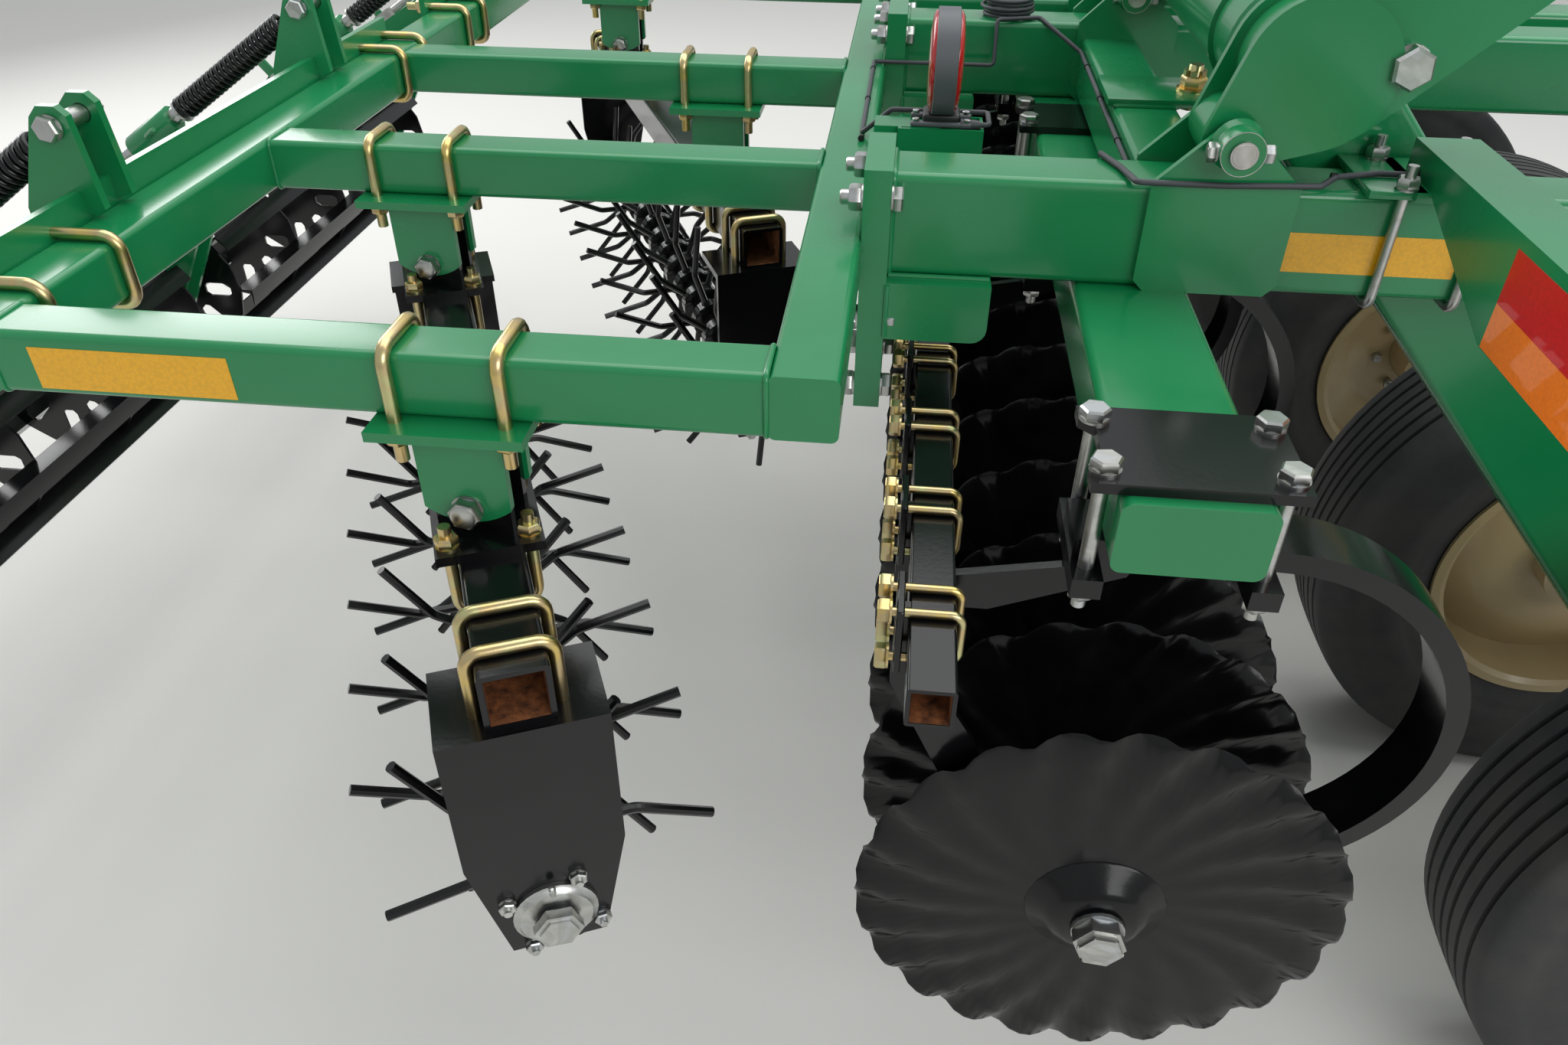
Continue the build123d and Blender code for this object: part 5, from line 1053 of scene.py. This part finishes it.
finished("hose_couplers", couplers, clear_zinc, "frame")


# Lamp wiring: grey sheathed cable from each lamp along the ladder's front bar to the main tubes
# and out to the light bracket, with a red and a white core at the plug and a coil of spare cable.
cable_sheath = moulded_plastic("grey_pvc_cable", "#3c3f43", 0.5)
red_core = moulded_plastic("red_pvc_core", "#b21820", 0.4)
white_core = moulded_plastic("white_pvc_core", "#d8d8d4", 0.4)
cable_radius = 0.004
cables = bmesh.new()
red_wires = bmesh.new()
white_wires = bmesh.new()
ties = bmesh.new()
tie_radius = 0.0052
grommet = [(0.0, 0.0085), (0.003, 0.0085), (0.0045, 0.006)]
for way in (-1, 1):
    gland_y = way * (lamp_half + 0.02)
    turn_y = way * (lamp_half - 0.045)
    # Along the ladder's front bar to the inner main tube, then the cross tube to the outer one
    routed(cables, [(-1.79, gland_y, 1.4165), (-1.752, gland_y, 1.4165), (-1.752, turn_y, 1.4165),
                    (-1.9, turn_y, 1.4165), (-1.945, way * (lamp_half - 0.06), 1.3745),
                    (-1.945, way * 0.19, 1.3745), (-1.72, way * 0.19, 1.3745),
                    (-1.72, way * 0.166, 1.4505), (-1.64, way * 0.14, 1.4505),
                    (-1.62, way * 0.166, 1.44), (-1.5628, way * 0.2, 1.405),
                    (-1.5628, way * 0.89, 1.405), (-1.62, way * 0.93, 1.4505),
                    (-1.6, way * 0.985, 1.4505), (-1.588, way * 1.0485, 1.4535),
                    (-1.48, way * 1.0487, 1.4535), (-1.37, way * 1.0487, 1.4575),
                    (-1.345, way * 1.02, 1.4605), (-1.29, way, 1.4605), (-1.2436, way, 1.4605)],
           cable_radius, 0.008, 8)
    # Through a rubber grommet in the light bracket's web, and on inside the channel to the plug
    turned_bar(ties, (-1.2433, way, 1.4605), (-1, 0, 0), grommet, 14)
    turned_bar(ties, (-1.2367, way, 1.4605), (1, 0, 0), grommet, 14)
    routed(cables, [(-1.2365, way, 1.4605), (-1.2, way, 1.4605), (-1.2, way * 1.06, 1.47),
                    (-1.2, way * 1.12, 1.4845), (-1.2, way * 1.22, 1.4845)], cable_radius, 0.008, 8)
    turned_bar(cables, (-1.795, gland_y, 1.4165), (1, 0, 0), [(0.0, 0.008), (0.024, 0.007), (0.03, 0.005)],
               14)
    for tie_y in (0.3, 0.5, 0.72):
        round_bar(ties, (-1.5628, way * tie_y, 1.405), (0, way, 0), tie_radius, 0.006, 12)
        round_bar(ties, (-1.945, way * (tie_y - 0.06), 1.3745), (0, way, 0), tie_radius, 0.006, 12)
    round_bar(ties, (-1.352, way * 1.02, 1.4605), (1, 0, 0), tie_radius, 0.007, 12)
    for form, rise in ((red_wires, 0.0022), (white_wires, -0.0022)):
        routed(form, [(-1.2, way * 1.216, 1.4845 + rise), (-1.2, way * 1.26, 1.4868 + rise * 0.6),
                      (-1.205, way * 1.33, 1.4868 + rise * 0.6)], 0.0016, 0.01, 6)
    round_bar(ties, (-1.205, way * 1.325, 1.4868), (0, way, 0), 0.0042, 0.02, 12)
# Spare cable, coiled on the right inner main tube
for loop in range(5):
    reach = 0.042 + 0.003 * (loop % 3)
    start = (-1.70 + 0.004 * (loop % 2) + reach, -0.105, 1.4505 + 0.0068 * loop)
    bent_rod(cables, start, (0, 1, 0), 0.0035, [("turn", (0, 0, 1), 359.0, reach)], 8)
finished("lamp_cables", cables, cable_sheath, "frame", 60)
finished("red_cores", red_wires, red_core, "frame", 60)
finished("white_cores", white_wires, white_core, "frame", 60)
finished("cable_ties", ties, black_plastic, "frame")


# Anchor plate on the middle cross tube: a flat plate welded on top, with a castle nut on the bolt
# that stands in its front edge.
anchor_plate = bmesh.new()
anchor_nut = bmesh.new()
block(anchor_plate, (-1.4835, -0.54, 1.4285), (0.167, 0.14, 0.0118), bevel=0.0014, segments=2)
weld_ring(anchor_plate, (-1.5575, -0.61, 1.4235), (1, 0, 0), (0, 1, 0), 0.099, 0.14, 0.0035, 0.006)
nut_at = Vector((-1.428, -0.54, 1.4346))
round_bar(anchor_nut, nut_at, (0, 0, 1), 0.025, 0.003, 24)
hex_head(anchor_nut, nut_at + Vector((0, 0, 0.003)), (0, 0, 1), 0.036, 0.018, 0.2, False)
turned_bar(anchor_nut, nut_at - Vector((0, 0, 0.03)), (0, 0, 1),
           [(0.0, 0.0118), (0.066, 0.0118), (0.068, 0.0105)], 18)
hex_head(anchor_nut, nut_at - Vector((0, 0, 0.0122)), (0, 0, -1), 0.034, 0.015, 0.2)
for tooth in range(6):
    outward = Matrix.Rotation(tooth * pi / 3 + 0.2, 4, "Z") @ Matrix.Translation((0.0145, 0, 0))
    block(anchor_nut, nut_at + Vector((0, 0, 0.0252)), (0.0055, 0.0095, 0.009), outward)
finished("anchor_plate", anchor_plate, green_enamel, "frame")
finished("anchor_castle_nut", anchor_nut, yellow_zinc, "frame")


# Tongue pins: hexagon heads and washers on the hinge and turnbuckle pins, and the turnbuckle's jam
# nuts on its rolled thread, all clear zinc plated.
tongue_pins = bmesh.new()
for middle, half in ((0.0, 0.116), (-0.72, 0.125), (0.72, 0.125)):
    for way in (-1, 1):
        hex_head(tongue_pins, hinge + Vector((0, middle + way * half, 0)), (0, way, 0), 0.046, 0.018, 0.3)
link_top = Vector((1.531, 0, 1.636))
link_foot = hinge + tongue_way * 0.64 + tongue_up * 0.136
link_way = (link_foot - link_top).normalized()
link_length = (link_foot - link_top).length
for end in (link_top, link_foot):
    for way in (-1, 1):
        hex_head(tongue_pins, end + Vector((0, way * 0.048, 0)), (0, way, 0), 0.036, 0.014, 0.1)
for end, way in ((0.15, -1), (link_length - 0.15, 1)):
    sleeve_end = link_top + link_way * end
    outward = link_way * way
    hex_head(tongue_pins, sleeve_end + outward * 0.0003, outward, 0.046, 0.02, 0.2, False)
    for ridge in range(12):
        turned_bar(tongue_pins, sleeve_end + outward * (0.024 + ridge * 0.006), outward,
                   [(0.0, 0.0161), (0.002, 0.0172), (0.004, 0.0161)], 18)
finished("tongue_pin_heads", tongue_pins, clear_zinc, "frame")


# Jack: a side-wind screw jack bolted through its plate to the tongue, with a crank handle and
# grip on top and a pull pin through the drop leg.
jack_fittings = bmesh.new()
jack_at = Vector((3.1, 0.1261, 0))
leg_half = 0.03205
jack_top = jack_at + Vector((0, 0, 1.1176))
for corner_x in (-0.0495, 0.0495):
    for corner_z in (-0.052, 0.062):
        hex_head(jack_fittings, (jack_at.x + corner_x, 0.0882, 0.7986 + corner_z), (0, 1, 0), 0.015, 0.01,
                 0.3)
turned_bar(jack_fittings, jack_top, (0, 0, 1),
           [(0.0, 0.026), (0.008, 0.026), (0.012, 0.014), (0.03, 0.0125)], 24)
bent_rod(jack_fittings, jack_top + Vector((0, 0, 0.022)), (-1, 0, 0), 0.0075,
         [("go", 0.15), ("turn", (0, 1, 0), 90, 0.012), ("go", 0.06)], 12)
for way in (-1, 1):
    turned_bar(jack_fittings, jack_at + Vector((0, way * 0.0383, 0.42)), (0, way, 0),
               [(0.0, 0.0125), (0.006, 0.0125), (0.0075, 0.011)], 16)
finished("jack_fittings", jack_fittings, clear_zinc, "frame")
grips = bmesh.new()
turned_bar(grips, jack_top + Vector((-0.162, 0, 0.05)), (0, 0, 1),
           [(0.0, 0.0125), (0.006, 0.015), (0.05, 0.0165), (0.085, 0.0155), (0.094, 0.011)], 22)
finished("jack_crank_grip", grips, black_plastic, "frame")
foot_welds = bmesh.new()
weld_ring(foot_welds, jack_at + Vector((-leg_half, -leg_half, 0.0135)), (1, 0, 0), (0, 1, 0), 2 * leg_half,
          2 * leg_half, 0.004, 0.003)
finished("jack_foot_weld", foot_welds, clear_zinc, "jack_leg", 70)


# Hitch: the cast clevis sits on the tongue's nose plate, held by eight hexagon bolts in clear
# zinc plate.
hitch_bolts = bmesh.new()
nose = hinge + tongue_way * (hypot(tongue_run, tongue_fall) - 0.0348)
for bolt_y in (-0.062, 0.062):
    for rise in (-0.078, -0.027, 0.027, 0.078):
        hex_head(hitch_bolts, nose + Vector((0, bolt_y, 0)) + tongue_up * rise, tongue_way, 0.022, 0.011,
                 0.3)
finished("hitch_bolts", hitch_bolts, clear_zinc, "frame")
